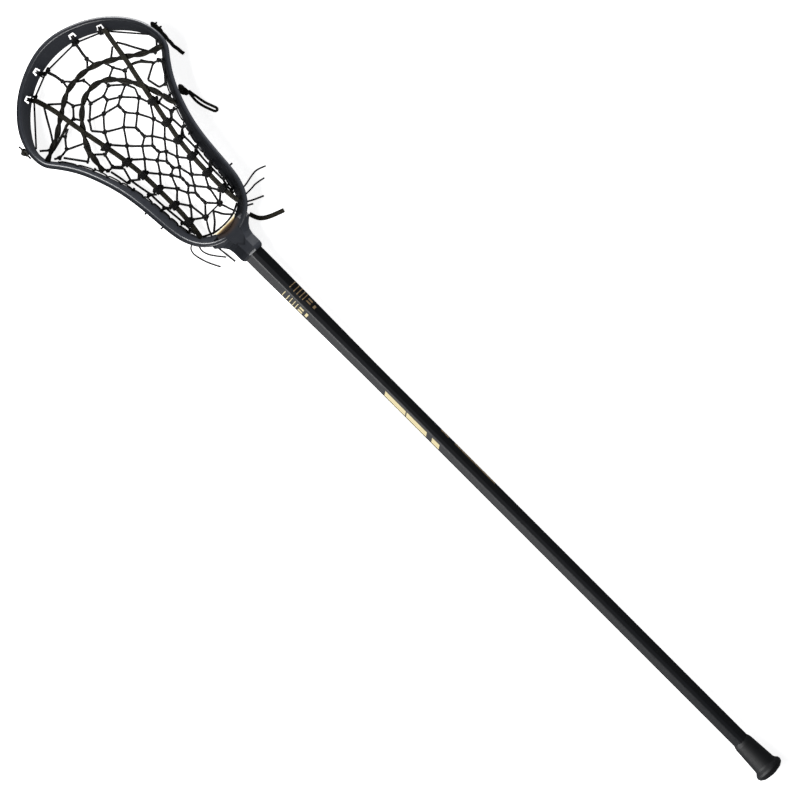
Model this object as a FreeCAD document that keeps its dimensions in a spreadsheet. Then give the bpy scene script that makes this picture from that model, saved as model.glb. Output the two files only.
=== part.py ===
"""A women's field lacrosse stick: a strung head on a tapered octagonal shaft with a rubber butt cap.

Frame: millimetres. The stick lies face up. +Y runs along it from the butt to the scoop, +X is
across it and +Z comes up out of the face. The origin is under the middle of its length, on the
surface that it lies on.
"""
import FreeCAD
import Part
import Sketcher

import math
import os

Vector = FreeCAD.Vector

# name, value in mm, what it is
SIZES = [
    ("overall_length", 1090.5, "butt to scoop tip"),
    ("head_length", 311.5, "socket mouth to scoop tip"),
    ("head_width", 187.0, "across the widest part of the head"),
    ("scoop_height", 44.0, "top rim above the surface, at the scoop"),
    ("throat_height", 32.0, "top rim above the surface, at the throat"),
    ("scoop_lift", 8.0, "bottom rail above the surface, at the scoop"),
    ("web_half", 1.5, "half the thickness of the head's walls"),
    ("rail_wide", 5.2, "width of the head's rails"),
    ("rail_deep", 6.4, "height of the head's rails"),
    ("socket_depth", 33.0, "shaft length inside the head"),
    ("socket_wall", 3.4, "wall of the socket"),
    ("socket_gap", 0.1, "clearance between the shaft and the socket"),
    ("screw_gap", 0.1, "clearance around the head screw"),
    ("shaft_wide", 21.8, "shaft across its sides at the head"),
    ("shaft_deep", 23.0, "shaft front to back at the head"),
    ("shaft_flat", 6.0, "front flat of the shaft at the head"),
    ("grip_wide", 18.7, "shaft across its sides at the grip"),
    ("grip_deep", 19.8, "shaft front to back at the grip"),
    ("grip_flat", 5.2, "front flat of the shaft at the grip"),
    ("shaft_wall", 1.2, "wall of the shaft"),
    ("taper_low", 605.0, "from the butt to the slim end of the taper"),
    ("taper_high", 754.0, "from the butt to the wide end of the taper"),
    ("edge_cut", 0.7, "facet on each edge of the shaft"),
    ("cap_length", 49.0, "butt cap, end to mouth"),
    ("cap_floor", 7.0, "thickness of the cap's closed end"),
    ("cap_lip_radius", 16.5, "radius of the cap's lip"),
    ("cap_waist_radius", 12.9, "radius of the cap just above its lip"),
    ("cap_mouth_radius", 10.9, "radius of the cap near its mouth"),
    ("cap_rest", 5.0, "radius of the small flat at the cap's end"),
    ("screw_radius", 2.4, "shank radius of the head screw"),
    ("screw_head_radius", 4.4, "head radius of the head screw"),
    ("screw_head_deep", 1.7, "height of the screw's head"),
    ("screw_length", 8.0, "shank length of the head screw"),
    ("string_radius", 0.8, "radius of the net strings"),
    ("cord_radius", 0.9, "radius of the loose string ends"),
    ("lace_cord_radius", 2.2, "radius of the loose lace ends"),
    ("leather_wide", 5.0, "width of the loose leather end"),
    ("leather_thick", 1.8, "thickness of the loose leather end"),
    ("knot_radius", 3.6, "radius of the knots outside the walls"),
    ("thick_string_radius", 1.4, "radius of the throat string"),
    ("strap_wide", 5.5, "width of the thongs"),
    ("strap_thick", 1.8, "thickness of the thongs"),
    ("lace_wide", 4.6, "width of the shooting strings"),
    ("lace_thick", 1.8, "thickness of the shooting strings"),
    ("net_thick", 1.4, "thickness of the netting"),
    ("layer_gap", 0.9, "clearance between the netting, the laces and the thongs"),
    ("net_gap", 4.8, "clearance between the netting and the walls"),
    ("string_gap", 1.7, "from a wall to the string beside it"),
    ("pocket_sag", 6.0, "how far the slack net hangs below its edge"),
    ("ball_stop_thick", 2.2, "thickness of the lip in the throat"),
    ("window_size", 9.5, "string windows in the scoop"),
    ("lacing_hole_radius", 1.7, "lacing holes in the bottom rails"),
]

doc = FreeCAD.newDocument("LacrosseStick")
sheet = doc.addObject("Spreadsheet::Sheet", "Sizes")
for row, (alias, value, meaning) in enumerate(SIZES, start=1):
    sheet.set(f"A{row}", alias)
    sheet.set(f"B{row}", str(value))
    sheet.setAlias(f"B{row}", alias)
    sheet.set(f"C{row}", meaning)
doc.recompute()


def size(alias):
    """A size from the sheet, in millimetres."""
    return float(sheet.get(alias))


# ---------------------------------------------------------------- places

# The head is drawn on a stick of these sizes and stretched to the sizes in the sheet. A drawn
# point is (across from the axis, along from the butt end).
DRAWN_WIDTH = 187.0
DRAWN_LENGTH = 311.5
DRAWN_TIP = 1090.5
DRAWN_MOUTH = DRAWN_TIP - DRAWN_LENGTH

TIP = size("overall_length") / 2
MOUTH = TIP - size("head_length")
# The cap's lip or the socket, whichever is deeper, rests on the surface below the shaft's axis.
AXIS_HEIGHT = max(size("cap_lip_radius"), size("shaft_deep") / 2 + size("socket_gap") + size("socket_wall"))
AXIS = "max(Sizes.cap_lip_radius; Sizes.shaft_deep / 2 + Sizes.socket_gap + Sizes.socket_wall)"
ACROSS = size("head_width") / DRAWN_WIDTH
ALONG = size("head_length") / DRAWN_LENGTH


def drawn(across, along, height=0.0):
    """The model's point for a drawn point of the head."""
    return Vector(across * ACROSS, MOUTH + (along - DRAWN_MOUTH) * ALONG, height)


def between(low, high, share):
    """The value at a share of the way from low to high."""
    return low + (high - low) * share


# The edge of the net lies in a plane that rises a little towards the scoop.
NET_BOTTOM = 824.0
NET_TOP = 1071.0
EDGE_AT_THROAT = 8.0
EDGE_AT_SCOOP = 12.0


def edge_height(along):
    """Height of the plane in which the net's edge is held."""
    return between(EDGE_AT_THROAT, EDGE_AT_SCOOP, (along - NET_BOTTOM) / (NET_TOP - NET_BOTTOM))


# Inner edge of the head's bottom rail: (across, along).
RAIL_INSIDE = [(18, 826), (26.5, 830), (34.7, 850), (36, 870), (38.5, 900), (45.7, 930), (56, 960),
               (67.3, 980), (81, 1000), (86.5, 1015), (82.5, 1028), (72.5, 1041), (55, 1058),
               (40, 1067), (20, 1074)]


def half_opening(along):
    """Half the width of the opening inside the bottom rail, in drawn millimetres."""
    if along <= RAIL_INSIDE[0][1]:
        return RAIL_INSIDE[0][0]
    for (x0, y0), (x1, y1) in zip(RAIL_INSIDE, RAIL_INSIDE[1:]):
        if along <= y1:
            return between(x0, x1, (along - y0) / (y1 - y0))
    return RAIL_INSIDE[-1][0]


def net_height(across, along):
    """Height of the underside of the slack net."""
    share = min(1.0, max(0.0, (along - NET_BOTTOM) / (NET_TOP - NET_BOTTOM)))
    side = min(1.0, abs(across) / half_opening(along))
    return edge_height(along) - size("pocket_sag") * math.sin(math.pi * share) ** 0.7 * (1 - side ** 2)


# ---------------------------------------------------------------- helpers

def body_named(label):
    """A new body whose name and label are the same."""
    body = doc.addObject("PartDesign::Body", label)
    body.Label = label
    return body


def plane(body, role):
    """One of a body's own origin planes."""
    return next(f for f in body.Origin.OriginFeatures if f.Role == role)


def polygon_sketch(body, name, role, corners, offset="0 mm"):
    """A closed outline on an origin plane; each corner is a pair of expressions of the sheet."""
    sketch = body.newObject("Sketcher::SketchObject", name)
    sketch.AttachmentSupport = (plane(body, role), "")
    sketch.MapMode = "FlatFace"
    sketch.setExpression("AttachmentOffset.Base.z", offset)
    values = [tuple(sheet_value(expression) for expression in corner) for corner in corners]
    count = len(values)
    for i in range(count):
        start, end = values[i], values[(i + 1) % count]
        sketch.addGeometry(Part.LineSegment(Vector(*start, 0), Vector(*end, 0)), False)
    for i in range(count):
        sketch.addConstraint(Sketcher.Constraint("Coincident", i, 2, (i + 1) % count, 1))
    for i, corner in enumerate(corners):
        for kind, value, expression in zip(("DistanceX", "DistanceY"), values[i], corner):
            index = sketch.addConstraint(Sketcher.Constraint(kind, -1, 1, i, 1, value))
            sketch.setExpression(f"Constraints[{index}]", expression)
    return sketch


def sheet_value(expression):
    """The number that an expression of the sheet's names has now."""
    result = sheet.evalExpression(expression.replace("Sizes.", ""))
    return float(getattr(result, "Value", result))


def feature(label, shape):
    """A sub-part whose shape is made with Part's own functions."""
    made = doc.addObject("Part::Feature", label)
    made.Label = label
    made.Shape = shape
    return made


def rounded_route(points, name=""):
    """A wire of straight runs joined by tangent arcs, each as large as its two runs allow."""
    edges = []
    at = points[0]
    radii = []
    for before, corner, after in zip(points, points[1:], points[2:]):
        back, ahead = before - corner, after - corner
        turn = math.pi - back.getAngle(ahead)
        short = min(back.Length, ahead.Length)
        cut = 0.45 * short
        radii.append(cut / math.tan(turn / 2))
        back.normalize()
        ahead.normalize()
        start, end = corner + back * cut, corner + ahead * cut
        middle_way = (back + ahead).normalize()
        reach = radii[-1] / math.cos(turn / 2) - radii[-1]
        edges.append(Part.LineSegment(at, start).toShape())
        edges.append(Part.Arc(start, corner + middle_way * reach, end).toShape())
        at = end
    edges.append(Part.LineSegment(at, points[-1]).toShape())
    if name:
        smallest = min(radii) if radii else 0.0
        print(f"{name}: tightest arc {smallest:.1f} mm")
    return Part.Wire(edges)


def tube(points, radius, name=""):
    """A round cord along a route, with flat ends; its volume is compared with its length."""
    wire = rounded_route(points, name)
    way = (points[1] - points[0]).normalize()
    circle = Part.Wire([Part.Circle(points[0], way, radius).toShape()])
    solid = wire.makePipeShell([circle], True, False)
    expected = math.pi * radius ** 2 * wire.Length
    if abs(solid.Volume - expected) > 0.02 * expected:
        raise ValueError(f"{name} has volume {solid.Volume:.1f} and needs {expected:.1f}")
    if name:
        print(f"{name}: {wire.Length:.1f} mm long")
    return solid


def strip(left, right, thick):
    """A soft sheet or strap between two edges, each a list of points on its underside."""
    surface = Part.BSplineSurface()
    surface.interpolate([[a, b] for a, b in zip(left, right)])
    return surface.toShape().extrude(Vector(0, 0, thick))


def strap_edges(route, wide, lift):
    """The two edges of a strap of a given width that lies on the net along a drawn route."""
    left, right = [], []
    for i, (across, along) in enumerate(route):
        before = drawn(*route[max(i - 1, 0)])
        after = drawn(*route[min(i + 1, len(route) - 1)])
        way = (after - before).normalize()
        aside = Vector(-way.y, way.x, 0) * (wide / 2)
        middle = drawn(across, along, net_height(across, along) + lift)
        left.append(middle + aside)
        right.append(middle - aside)
    return left, right


# ---------------------------------------------------------------- shaft

def octagon(wide, deep, flat, less="0"):
    """Corners of the shaft's section, each edge cut by a small facet. Its slanting sides lie at 45 degrees."""
    cut, slant = "Sizes.edge_cut", "Sizes.edge_cut * 0.70711"
    top, side = f"({deep}) / 2 - {less}", f"({wide}) / 2 - {less}"
    half_flat = f"({flat}) / 2 - {less} * 0.41421"
    half_side = f"(({deep}) - ({wide}) + ({flat})) / 2 - {less} * 0.41421"
    quarter = [
        (f"{half_flat} - {cut}", top),
        (f"{half_flat} + {slant}", f"{top} - {slant}"),
        (f"{side} - {slant}", f"{half_side} + {slant}"),
        (side, f"{half_side} - {cut}"),
    ]
    right = quarter + [(x, f"-({y})") for x, y in reversed(quarter)]
    return right + [(f"-({x})", y) for x, y in reversed(right)]


def raised(corners):
    """The same corners about the shaft's axis."""
    return [(x, f"({y}) + {AXIS}") for x, y in corners]


GRIP = ("Sizes.grip_wide", "Sizes.grip_deep", "Sizes.grip_flat")
TOP = ("Sizes.shaft_wide", "Sizes.shaft_deep", "Sizes.shaft_flat")
# Distance from the butt of each section of the shaft, and its size there.
SHAFT_SECTIONS = [
    ("Sizes.cap_floor", GRIP),
    ("Sizes.taper_low", GRIP),
    ("Sizes.taper_high", TOP),
    ("(Sizes.overall_length - Sizes.head_length + Sizes.socket_depth)", TOP),
]


def make_shaft():
    """The hollow shaft: slim at the grip, wide at the head, with a hole for the head screw."""
    body = body_named("shaft_tube")
    lofts = (("PartDesign::AdditiveLoft", "0"), ("PartDesign::SubtractiveLoft", "Sizes.shaft_wall"))
    for kind, less in lofts:
        sections = []
        for number, (along, sizes) in enumerate(SHAFT_SECTIONS):
            offset = f"Sizes.overall_length / 2 - {along}"
            corners = raised(octagon(*sizes, less))
            label = f"{kind[12:15]}Section{number}"
            sections.append(polygon_sketch(body, label, "XZ_Plane", corners, offset))
        loft = body.newObject(kind, kind[12:])
        loft.Profile = sections[0]
        loft.Sections = sections[1:]
        loft.Ruled = True
        doc.recompute()
    hollow = loft.Shape.Volume
    along = "Sizes.overall_length / 2 - Sizes.head_length + Sizes.socket_depth / 2"
    radius = "Sizes.screw_radius + Sizes.screw_gap"
    sketch = body.newObject("Sketcher::SketchObject", "ScrewHoleCircle")
    sketch.AttachmentSupport = (plane(body, "XY_Plane"), "")
    sketch.MapMode = "FlatFace"
    centre = Vector(0, sheet_value(along), 0)
    sketch.addGeometry(Part.Circle(centre, Vector(0, 0, 1), sheet_value(radius)), False)
    bound = [("DistanceX", -1, 1, 0, 3, "0 mm"), ("DistanceY", -1, 1, 0, 3, along)]
    for kind, *places, expression in bound:
        index = sketch.addConstraint(Sketcher.Constraint(kind, *places, sheet_value(expression)))
        sketch.setExpression(f"Constraints[{index}]", expression)
    index = sketch.addConstraint(Sketcher.Constraint("Radius", 0, sheet_value(radius)))
    sketch.setExpression(f"Constraints[{index}]", radius)
    hole = body.newObject("PartDesign::Pocket", "ScrewHole")
    hole.Profile = sketch
    hole.Reversed = True
    hole.setExpression("Length", AXIS)
    doc.recompute()
    if hole.Shape.Volume > hollow - 10:
        raise ValueError("the shaft's screw hole cuts nothing")
    return body


# ---------------------------------------------------------------- butt cap

def make_cap():
    """The rubber cap that is pushed over the butt."""
    body = body_named("butt_cap")
    # Radius and distance from the butt of each corner of the cap's outline.
    lip, waist, mouth = "Sizes.cap_lip_radius", "Sizes.cap_waist_radius", "Sizes.cap_mouth_radius"
    outline = [
        ("0", "0"),
        ("Sizes.cap_rest", "0"),
        (f"{lip} * 0.72", "1.6"),
        (f"{lip} * 0.93", "4.0"),
        (lip, "7.0"),
        (f"{lip} * 0.96", "9.4"),
        (f"{waist} + 0.4", "12.4"),
        (waist, "14.5"),
        (mouth, "Sizes.cap_length - 4.5"),
        (f"{mouth} - 0.5", "Sizes.cap_length - 2.0"),
        (f"{mouth} - 1.3", "Sizes.cap_length"),
        ("0", "Sizes.cap_length"),
    ]
    corners = [(radius, f"{along} - Sizes.overall_length / 2") for radius, along in outline]
    profile = polygon_sketch(body, "CapOutline", "XY_Plane", corners, AXIS)
    turned = body.newObject("PartDesign::Revolution", "CapTurned")
    turned.Profile = profile
    turned.ReferenceAxis = (profile, ["V_Axis"])
    turned.Angle = 360
    doc.recompute()
    corners = raised(octagon(*GRIP))
    bore = polygon_sketch(body, "CapBore", "XZ_Plane", corners, "Sizes.overall_length / 2 - Sizes.cap_floor")
    pocket = body.newObject("PartDesign::Pocket", "CapHollow")
    pocket.Profile = bore
    pocket.Type = "Length"
    pocket.setExpression("Length", "Sizes.cap_length")
    doc.recompute()
    if pocket.Shape.Volume > 0.9 * turned.Shape.Volume:
        raise ValueError("the cap's hollow cuts nothing")
    return body


# ---------------------------------------------------------------- head

# One half of the head's ring, from the tip to the throat: the outer edge, the inner edge, and the
# share of the way down from the scoop's height and lift to the throat's.
RING_HALF = [
    ((0, 1091.7), (0, 1077.2), 0.0, 1.0),
    ((20, 1089), (17, 1075.6), 0.0, 0.95),
    ((40.5, 1081.3), (34.5, 1070.8), 0.02, 0.8),
    ((61, 1070), (52, 1061.5), 0.06, 0.55),
    ((79.5, 1052), (68.8, 1047.5), 0.12, 0.3),
    ((90.5, 1034.5), (81.3, 1032), 0.18, 0.1),
    ((95.3, 1014), (88, 1017.5), 0.25, 0.0),
    ((93.3, 998), (85.6, 1003.5), 0.3, 0.0),
    ((86.6, 990), (78, 996.5), 0.33, 0.0),
    ((79, 980), (70.8, 985.8), 0.36, 0.0),
    ((69.5, 965), (61, 970.5), 0.4, 0.0),
    ((60, 940), (50, 942), 0.46, 0.0),
    ((54.5, 920), (42.8, 921), 0.5, 0.0),
    ((51.4, 900), (38.5, 900), 0.55, 0.0),
    ((49.5, 877), (36.3, 877), 0.6, 0.0),
    ((48, 855), (35.2, 855), 0.68, 0.05),
    ((45, 840), (32.3, 841.5), 0.76, 0.1),
    ((39, 827), (27.5, 831.5), 0.84, 0.15),
    ((30, 816), (20.5, 825.5), 0.92, 0.2),
    ((18, 809), (12, 821.8), 0.97, 0.2),
    ((4, 806), (3, 820.6), 1.0, 0.2),
]


def ring_section(outer, inner, low, high):
    """Poles of the head's wall in section: a rail at the bottom, a leaning web and a rail on top."""
    start = Vector(inner.x, inner.y, 0)
    aside = Vector(outer.x, outer.y, 0) - start
    wide = aside.Length
    aside.normalize()
    rail, deep, web = size("rail_wide"), size("rail_deep"), size("web_half")

    def middle(share):
        lean = (wide - rail) * share ** 1.25
        return rail / 2 + lean, between(low + deep / 2, high - deep / 2, share)

    (near, near_z), (far, far_z) = middle(0.3), middle(0.7)
    profile = [
        (0.0, low + deep * 0.8), (0.0, low), (rail, low), (rail, low + deep * 0.8),
        (near + web, near_z), (far + web, far_z),
        (wide, high - deep * 0.8), (wide, high), (wide - rail, high), (wide - rail, high - deep * 0.8),
        (far - web, far_z), (near - web, near_z),
    ]
    return [start + aside * n + Vector(0, 0, z) for n, z in profile]


def make_ring():
    """The head's wall, one smooth surface from the left of the throat round the scoop to the right."""
    right = []
    for outer, inner, drop, lift in RING_HALF:
        high = between(size("scoop_height"), size("throat_height"), drop)
        right.append((outer, inner, size("scoop_lift") * lift, high))
    left = [((-outer[0], outer[1]), (-inner[0], inner[1]), low, high)
            for outer, inner, low, high in reversed(right[1:])]
    poles = [ring_section(drawn(*outer), drawn(*inner), low, high)
             for outer, inner, low, high in left + right]
    degree, across_degree = 3, 2
    spans = len(poles) - degree
    knots = [i / spans for i in range(spans + 1)]
    mults = [degree + 1] + [1] * (spans - 1) + [degree + 1]
    around = len(poles[0])
    surface = Part.BSplineSurface()
    surface.buildFromPolesMultsKnots(
        poles, mults, [1] * (around + 1), knots, [i / around for i in range(around + 1)],
        False, True, degree, across_degree)
    skin = surface.toShape()
    ends = [Part.Face(Part.Wire([surface.uIso(at).toShape()])) for at in (0.0, 1.0)]
    shell = Part.makeShell([skin] + ends)
    shell.sewShape()
    ring = Part.makeSolid(shell)
    if ring.Volume < 0:
        ring.reverse()
    return ring


def throat_section(along, half_wide, flat, low, high):
    """Octagonal section of the throat and socket at a drawn distance along."""
    y = drawn(0, along).y
    bevel = half_wide - flat
    corners = [
        (flat, high), (half_wide, high - bevel), (half_wide, low + bevel), (flat, low),
        (-flat, low), (-half_wide, low + bevel), (-half_wide, high - bevel), (-flat, high),
    ]
    points = [Vector(x, y, z) for x, z in corners]
    return Part.makePolygon(points + points[:1])


def make_throat():
    """The throat and the socket that the shaft goes into."""
    wall = size("socket_wall")
    half = size("shaft_wide") / 2 + size("socket_gap") + wall
    deep = size("shaft_deep") / 2 + size("socket_gap") + wall
    low, high = AXIS_HEIGHT - deep, AXIS_HEIGHT + deep
    rim = size("throat_height")
    sections = [
        (779, half - 2.6, 4.0, low + 2.4, high - 2.4),
        (781, half - 0.7, 4.6, low + 0.6, high - 0.6),
        (784, half, 5.0, low, high),
        (795, half, 5.0, low, high),
        (801, half + 1.2, 6.0, low, high + 0.4),
        (806, half + 4.6, 9.0, low, between(high, rim, 0.6)),
        (812, 26.0 * ACROSS, 16.0 * ACROSS, low, rim - 0.2),
        (818, 26.0 * ACROSS, 15.0 * ACROSS, low + 0.5, rim - 0.5),
    ]
    return Part.makeLoft([throat_section(*section) for section in sections], True, True)


def octagon_wire(wide, deep, flat, y, grow):
    """The shaft's section, grown by a clearance, at a place along the axis."""
    half_flat = flat / 2 + grow * 0.41421
    half_wide, top = wide / 2 + grow, deep / 2 + grow
    half_side = (deep - wide + flat) / 2 + grow * 0.41421
    quarter = [(half_flat, top), (half_wide, half_side)]
    corners = quarter + [(x, -z) for x, z in reversed(quarter)]
    corners += [(-x, z) for x, z in reversed(corners)]
    points = [Vector(x, y, z + AXIS_HEIGHT) for x, z in corners]
    return Part.makePolygon(points + points[:1])


def upright_prism(corners, low, high):
    """A prism over drawn corners, from one height to another."""
    points = [drawn(across, along, low) for across, along in corners]
    return Part.Face(Part.makePolygon(points + points[:1])).extrude(Vector(0, 0, high - low))


# Drawn centre of each string window in the scoop's right half.
WINDOWS = [(26.5, 1077.2), (53.5, 1063.6)]
NET_MIDDLE = 960    # along the stick from the butt
# Drawn places of the lacing holes along each bottom rail.
LACING_HOLES = [845, 857, 869, 881, 893, 905, 918, 932, 947, 962, 978, 994]


def window(across, along):
    """A window through the scoop's rail, narrower towards the tip, that faces the middle of the net."""
    out = Vector(across, along - NET_MIDDLE, 0).normalize()
    aside = Vector(out.y, -out.x, 0)
    half = size("window_size") / 2
    outline = [(-half, -1.6), (half, -1.6), (half * 0.6, 2.8), (-half * 0.6, 2.8)]
    places = [Vector(across, along, 0) + aside * i + out * j for i, j in outline]
    return upright_prism([(place.x, place.y) for place in places], -10, size("scoop_height") + 10)


def lacing_hole(side, along):
    """A level hole through the wall, just above its bottom rail."""
    edge = drawn(side * half_opening(along), along, edge_height(along))
    before, after = along - 4, along + 4
    ahead = drawn(side * half_opening(after), after) - drawn(side * half_opening(before), before)
    out = Vector(ahead.y, -ahead.x, 0).normalize() * side
    return Part.makeCylinder(size("lacing_hole_radius"), 16, edge - out * 6, out)


SOCKET_HALF_DEEP = size("shaft_deep") / 2 + size("socket_gap") + size("socket_wall")
SCREW_Y = MOUTH + size("socket_depth") / 2
LIP_SEAT = size("throat_height") - size("ball_stop_thick") / 2
SCREW_SEAT = AXIS_HEIGHT - SOCKET_HALF_DEEP + size("screw_head_deep")


def make_head():
    """The whole head: ring and throat in one, with the bore, windows, holes and recess cut."""
    shape = make_ring().fuse(make_throat())
    bore_end = MOUTH + size("socket_depth") + size("socket_gap")
    shaft = (size("shaft_wide"), size("shaft_deep"), size("shaft_flat"))
    outlines = [octagon_wire(*shaft, y, size("socket_gap")) for y in (MOUTH - 1, bore_end)]
    bore = Part.makeLoft(outlines, True, True)
    cuts = [bore]
    for across, along in WINDOWS:
        cuts += [window(across, along), window(-across, along)]
    for along in LACING_HOLES:
        cuts += [lacing_hole(1, along), lacing_hole(-1, along)]
    up = Vector(0, 0, 1)
    gap = size("screw_gap")
    cuts.append(Part.makeCylinder(size("screw_radius") + gap, AXIS_HEIGHT, Vector(0, SCREW_Y, 0), up))
    cuts.append(Part.makeCylinder(size("screw_head_radius") + gap, SCREW_SEAT, Vector(0, SCREW_Y, 0), up))
    cuts += [throat_recess(), lip_blank()]
    return feature("head_frame", shape.cut(cuts))


def throat_recess():
    """The shallow pointed recess in the front of the throat, which deepens towards the mouth."""
    outline = [(0, 791), (8, 800), (9.5, 812), (7, 816), (-7, 816), (-9.5, 812), (-8, 800)]
    front = AXIS_HEIGHT + SOCKET_HALF_DEEP
    points = [drawn(across, along, front - 1.6 + (along - 791) * 0.09) for across, along in outline]
    return Part.Face(Part.makePolygon(points + points[:1])).extrude(Vector(0, 0, 20))


def make_screw():
    """The screw that holds the head on the shaft."""
    body = body_named("head_screw")
    low = f"{AXIS} - Sizes.shaft_deep / 2 - Sizes.socket_gap - Sizes.socket_wall + 0.1"
    seat = f"{low} - 0.1 + Sizes.screw_head_deep"
    outline = [
        ("0", low),
        ("Sizes.screw_head_radius - 0.6", low),
        ("Sizes.screw_head_radius", f"{low} + 0.6"),
        ("Sizes.screw_head_radius", seat),
        ("Sizes.screw_radius", seat),
        ("Sizes.screw_radius", f"{seat} + Sizes.screw_length - 1.5"),
        ("Sizes.screw_radius * 0.4", f"{seat} + Sizes.screw_length"),
        ("0", f"{seat} + Sizes.screw_length"),
    ]
    place = "Sizes.head_length - Sizes.overall_length / 2 - Sizes.socket_depth / 2"
    profile = polygon_sketch(body, "ScrewOutline", "XZ_Plane", outline, place)
    turned = body.newObject("PartDesign::Revolution", "ScrewTurned")
    turned.Profile = profile
    turned.ReferenceAxis = (profile, ["V_Axis"])
    turned.Angle = 360
    doc.recompute()
    slot = polygon_sketch(body, "ScrewSlot", "XY_Plane",
                          [("-3", f"-({place}) - 0.5"), ("3", f"-({place}) - 0.5"),
                           ("3", f"-({place}) + 0.5"), ("-3", f"-({place}) + 0.5")], low)
    cut = body.newObject("PartDesign::Pocket", "ScrewSlotCut")
    cut.Profile = slot
    cut.Reversed = True
    cut.Length = 0.9
    doc.recompute()
    if cut.Shape.Volume > turned.Shape.Volume - 2:
        raise ValueError("the screw's slot cuts nothing")
    return body


def lip_blank():
    """The crescent lip across the top of the throat, before its edges are rounded."""
    corners = [drawn(across, along, LIP_SEAT)
               for across, along in ((-16.5, 822.6), (0, 820.8), (16.5, 822.6), (0, 815.6))]
    front = Part.Arc(corners[0], corners[1], corners[2]).toShape()
    back = Part.Arc(corners[2], corners[3], corners[0]).toShape()
    return Part.Face(Part.Wire([front, back])).extrude(Vector(0, 0, size("ball_stop_thick")))


def make_ball_stop():
    """The shiny lip that closes the pocket at the throat."""
    lip = lip_blank()
    top = LIP_SEAT + size("ball_stop_thick")
    rounded = [edge for edge in lip.Edges if edge.BoundBox.ZMin > top - 0.1]
    return feature("ball_stop", lip.makeFillet(0.7, rounded))


# ---------------------------------------------------------------- strings held by the head

# Drawn routes of the thongs and of the two shooting strings.
LEFT_THONG = [(-47, 1056), (-43, 1040), (-40, 1020), (-37, 1000), (-33, 980), (-29, 960), (-26, 940),
              (-24, 920), (-23.5, 895), (-23.5, 865), (-25, 849), (-26, 839)]
RIGHT_THONG = [(54, 1051), (52, 1038), (49.5, 1020), (45, 1000), (41, 980), (37, 960), (33, 940),
               (29, 920), (27, 900), (26, 870), (26, 850), (26.5, 840)]
UPPER_LACE = [(-77, 1007), (-70, 1011), (-60, 1014.5), (-50, 1022), (-42, 1027), (-32, 1033.5),
              (-20, 1040.5), (-8, 1043), (6, 1043.5), (20, 1040.5), (30, 1036.5), (40, 1030),
              (50, 1024.5), (60, 1017), (70, 1010.5), (79, 1006)]
LOWER_LACE = [(-50, 962), (-48, 975), (-44, 987), (-38, 997), (-30, 1008), (-18, 1019), (-8, 1024.5),
              (4, 1026), (14, 1024), (24, 1017.5), (32, 1007), (40, 995), (46, 981), (50, 968),
              (52, 957)]

LACE_LIFT = size("net_thick") + size("layer_gap")
THONG_LIFT = LACE_LIFT + size("lace_thick") + size("layer_gap")


def across_at(route, along):
    """Where a thong stands at a drawn distance along."""
    for (x0, y0), (x1, y1) in zip(route, route[1:]):
        if y1 <= along <= y0:
            return between(x0, x1, (along - y0) / (y1 - y0))
    return route[0][0] if along > route[0][1] else route[-1][0]


def make_strap(label, route, wide, thick, lift):
    """A flat strap along a route, at a height above the netting."""
    left, right = strap_edges(route, wide, lift)
    return feature(label, strip(left, right, thick))


def net_rows(alongs, left_of, right_of, steps=5):
    """Rows of points over the net, from its left edge to its right."""
    rows = []
    for along in alongs:
        low, high = left_of(along), right_of(along)
        places = [between(low, high, i / (steps - 1)) for i in range(steps)]
        rows.append([drawn(across, along, net_height(across, along)) for across in places])
    return rows


def make_net(label, rows):
    """A sheet of netting through rows of points."""
    surface = Part.BSplineSurface()
    surface.interpolate(rows)
    return feature(label, surface.toShape().extrude(Vector(0, 0, size("net_thick"))))


CENTRE_NET_ROWS = [839, 853, 870, 890, 910, 930, 950, 970, 990, 1010, 1030, 1050]
SIDE_NET_ROWS = [852, 862, 873, 886, 900, 915, 930, 945, 960, 975, 990, 1005, 1020]


def make_nets():
    """The netting between the thongs and on each side of them."""
    half_gap = size("layer_gap") / 2

    def left_edge(along):
        return across_at(LEFT_THONG, along)

    def right_edge(along):
        return across_at(RIGHT_THONG, along)

    def wall(along):
        return half_opening(along) - size("net_gap")

    make_net("centre_net", net_rows(CENTRE_NET_ROWS, lambda a: left_edge(a) + half_gap,
                                    lambda a: right_edge(a) - half_gap))
    make_net("left_side_net", net_rows(SIDE_NET_ROWS, lambda a: -wall(a), lambda a: left_edge(a) - half_gap))
    make_net("right_side_net", net_rows(SIDE_NET_ROWS, lambda a: right_edge(a) + half_gap, wall))


def on_edge(points):
    """Drawn points raised to the plane that holds the net's edge."""
    return [drawn(across, along, edge_height(along)) for across, along in points]


WALL_STRING_ALONGS = [842, 856, 872, 890, 910, 930, 950, 970, 985, 1000]
SCOOP_STRING = [(-80, 1024), (-67, 1040.5), (-50, 1055.5), (-36, 1064), (-18, 1071), (18, 1071), (37, 1064),
                (52, 1055), (68, 1040.5), (80.5, 1024)]
THROAT_STRING = [(-26.5, 835), (-20, 830), (-8, 826), (8, 826), (20, 830), (26.5, 835)]


def make_edge_strings():
    """The strings along the walls, the scoop and the throat."""
    for label, side in (("left_wall_string", -1), ("right_wall_string", 1)):
        places = [(side * (half_opening(a) - size("string_gap")), a) for a in WALL_STRING_ALONGS]
        feature(label, tube(on_edge(places), size("string_radius"), label))
    feature("scoop_string", tube(on_edge(SCOOP_STRING), size("string_radius"), "scoop_string"))
    feature("throat_string", tube(on_edge(THROAT_STRING), size("thick_string_radius"), "throat_string"))


# Each knot outside the walls: (across, along, height), and its length along the stick in radii.
KNOTS = {
    "left_scoop_knot": ((-96.4, 1026, 24), 1.0),
    "right_rim_knot": ((96.6, 1020, 24), 1.8),
    "lower_lace_knot": ((72.5, 957, 14), 1.7),
}


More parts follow.
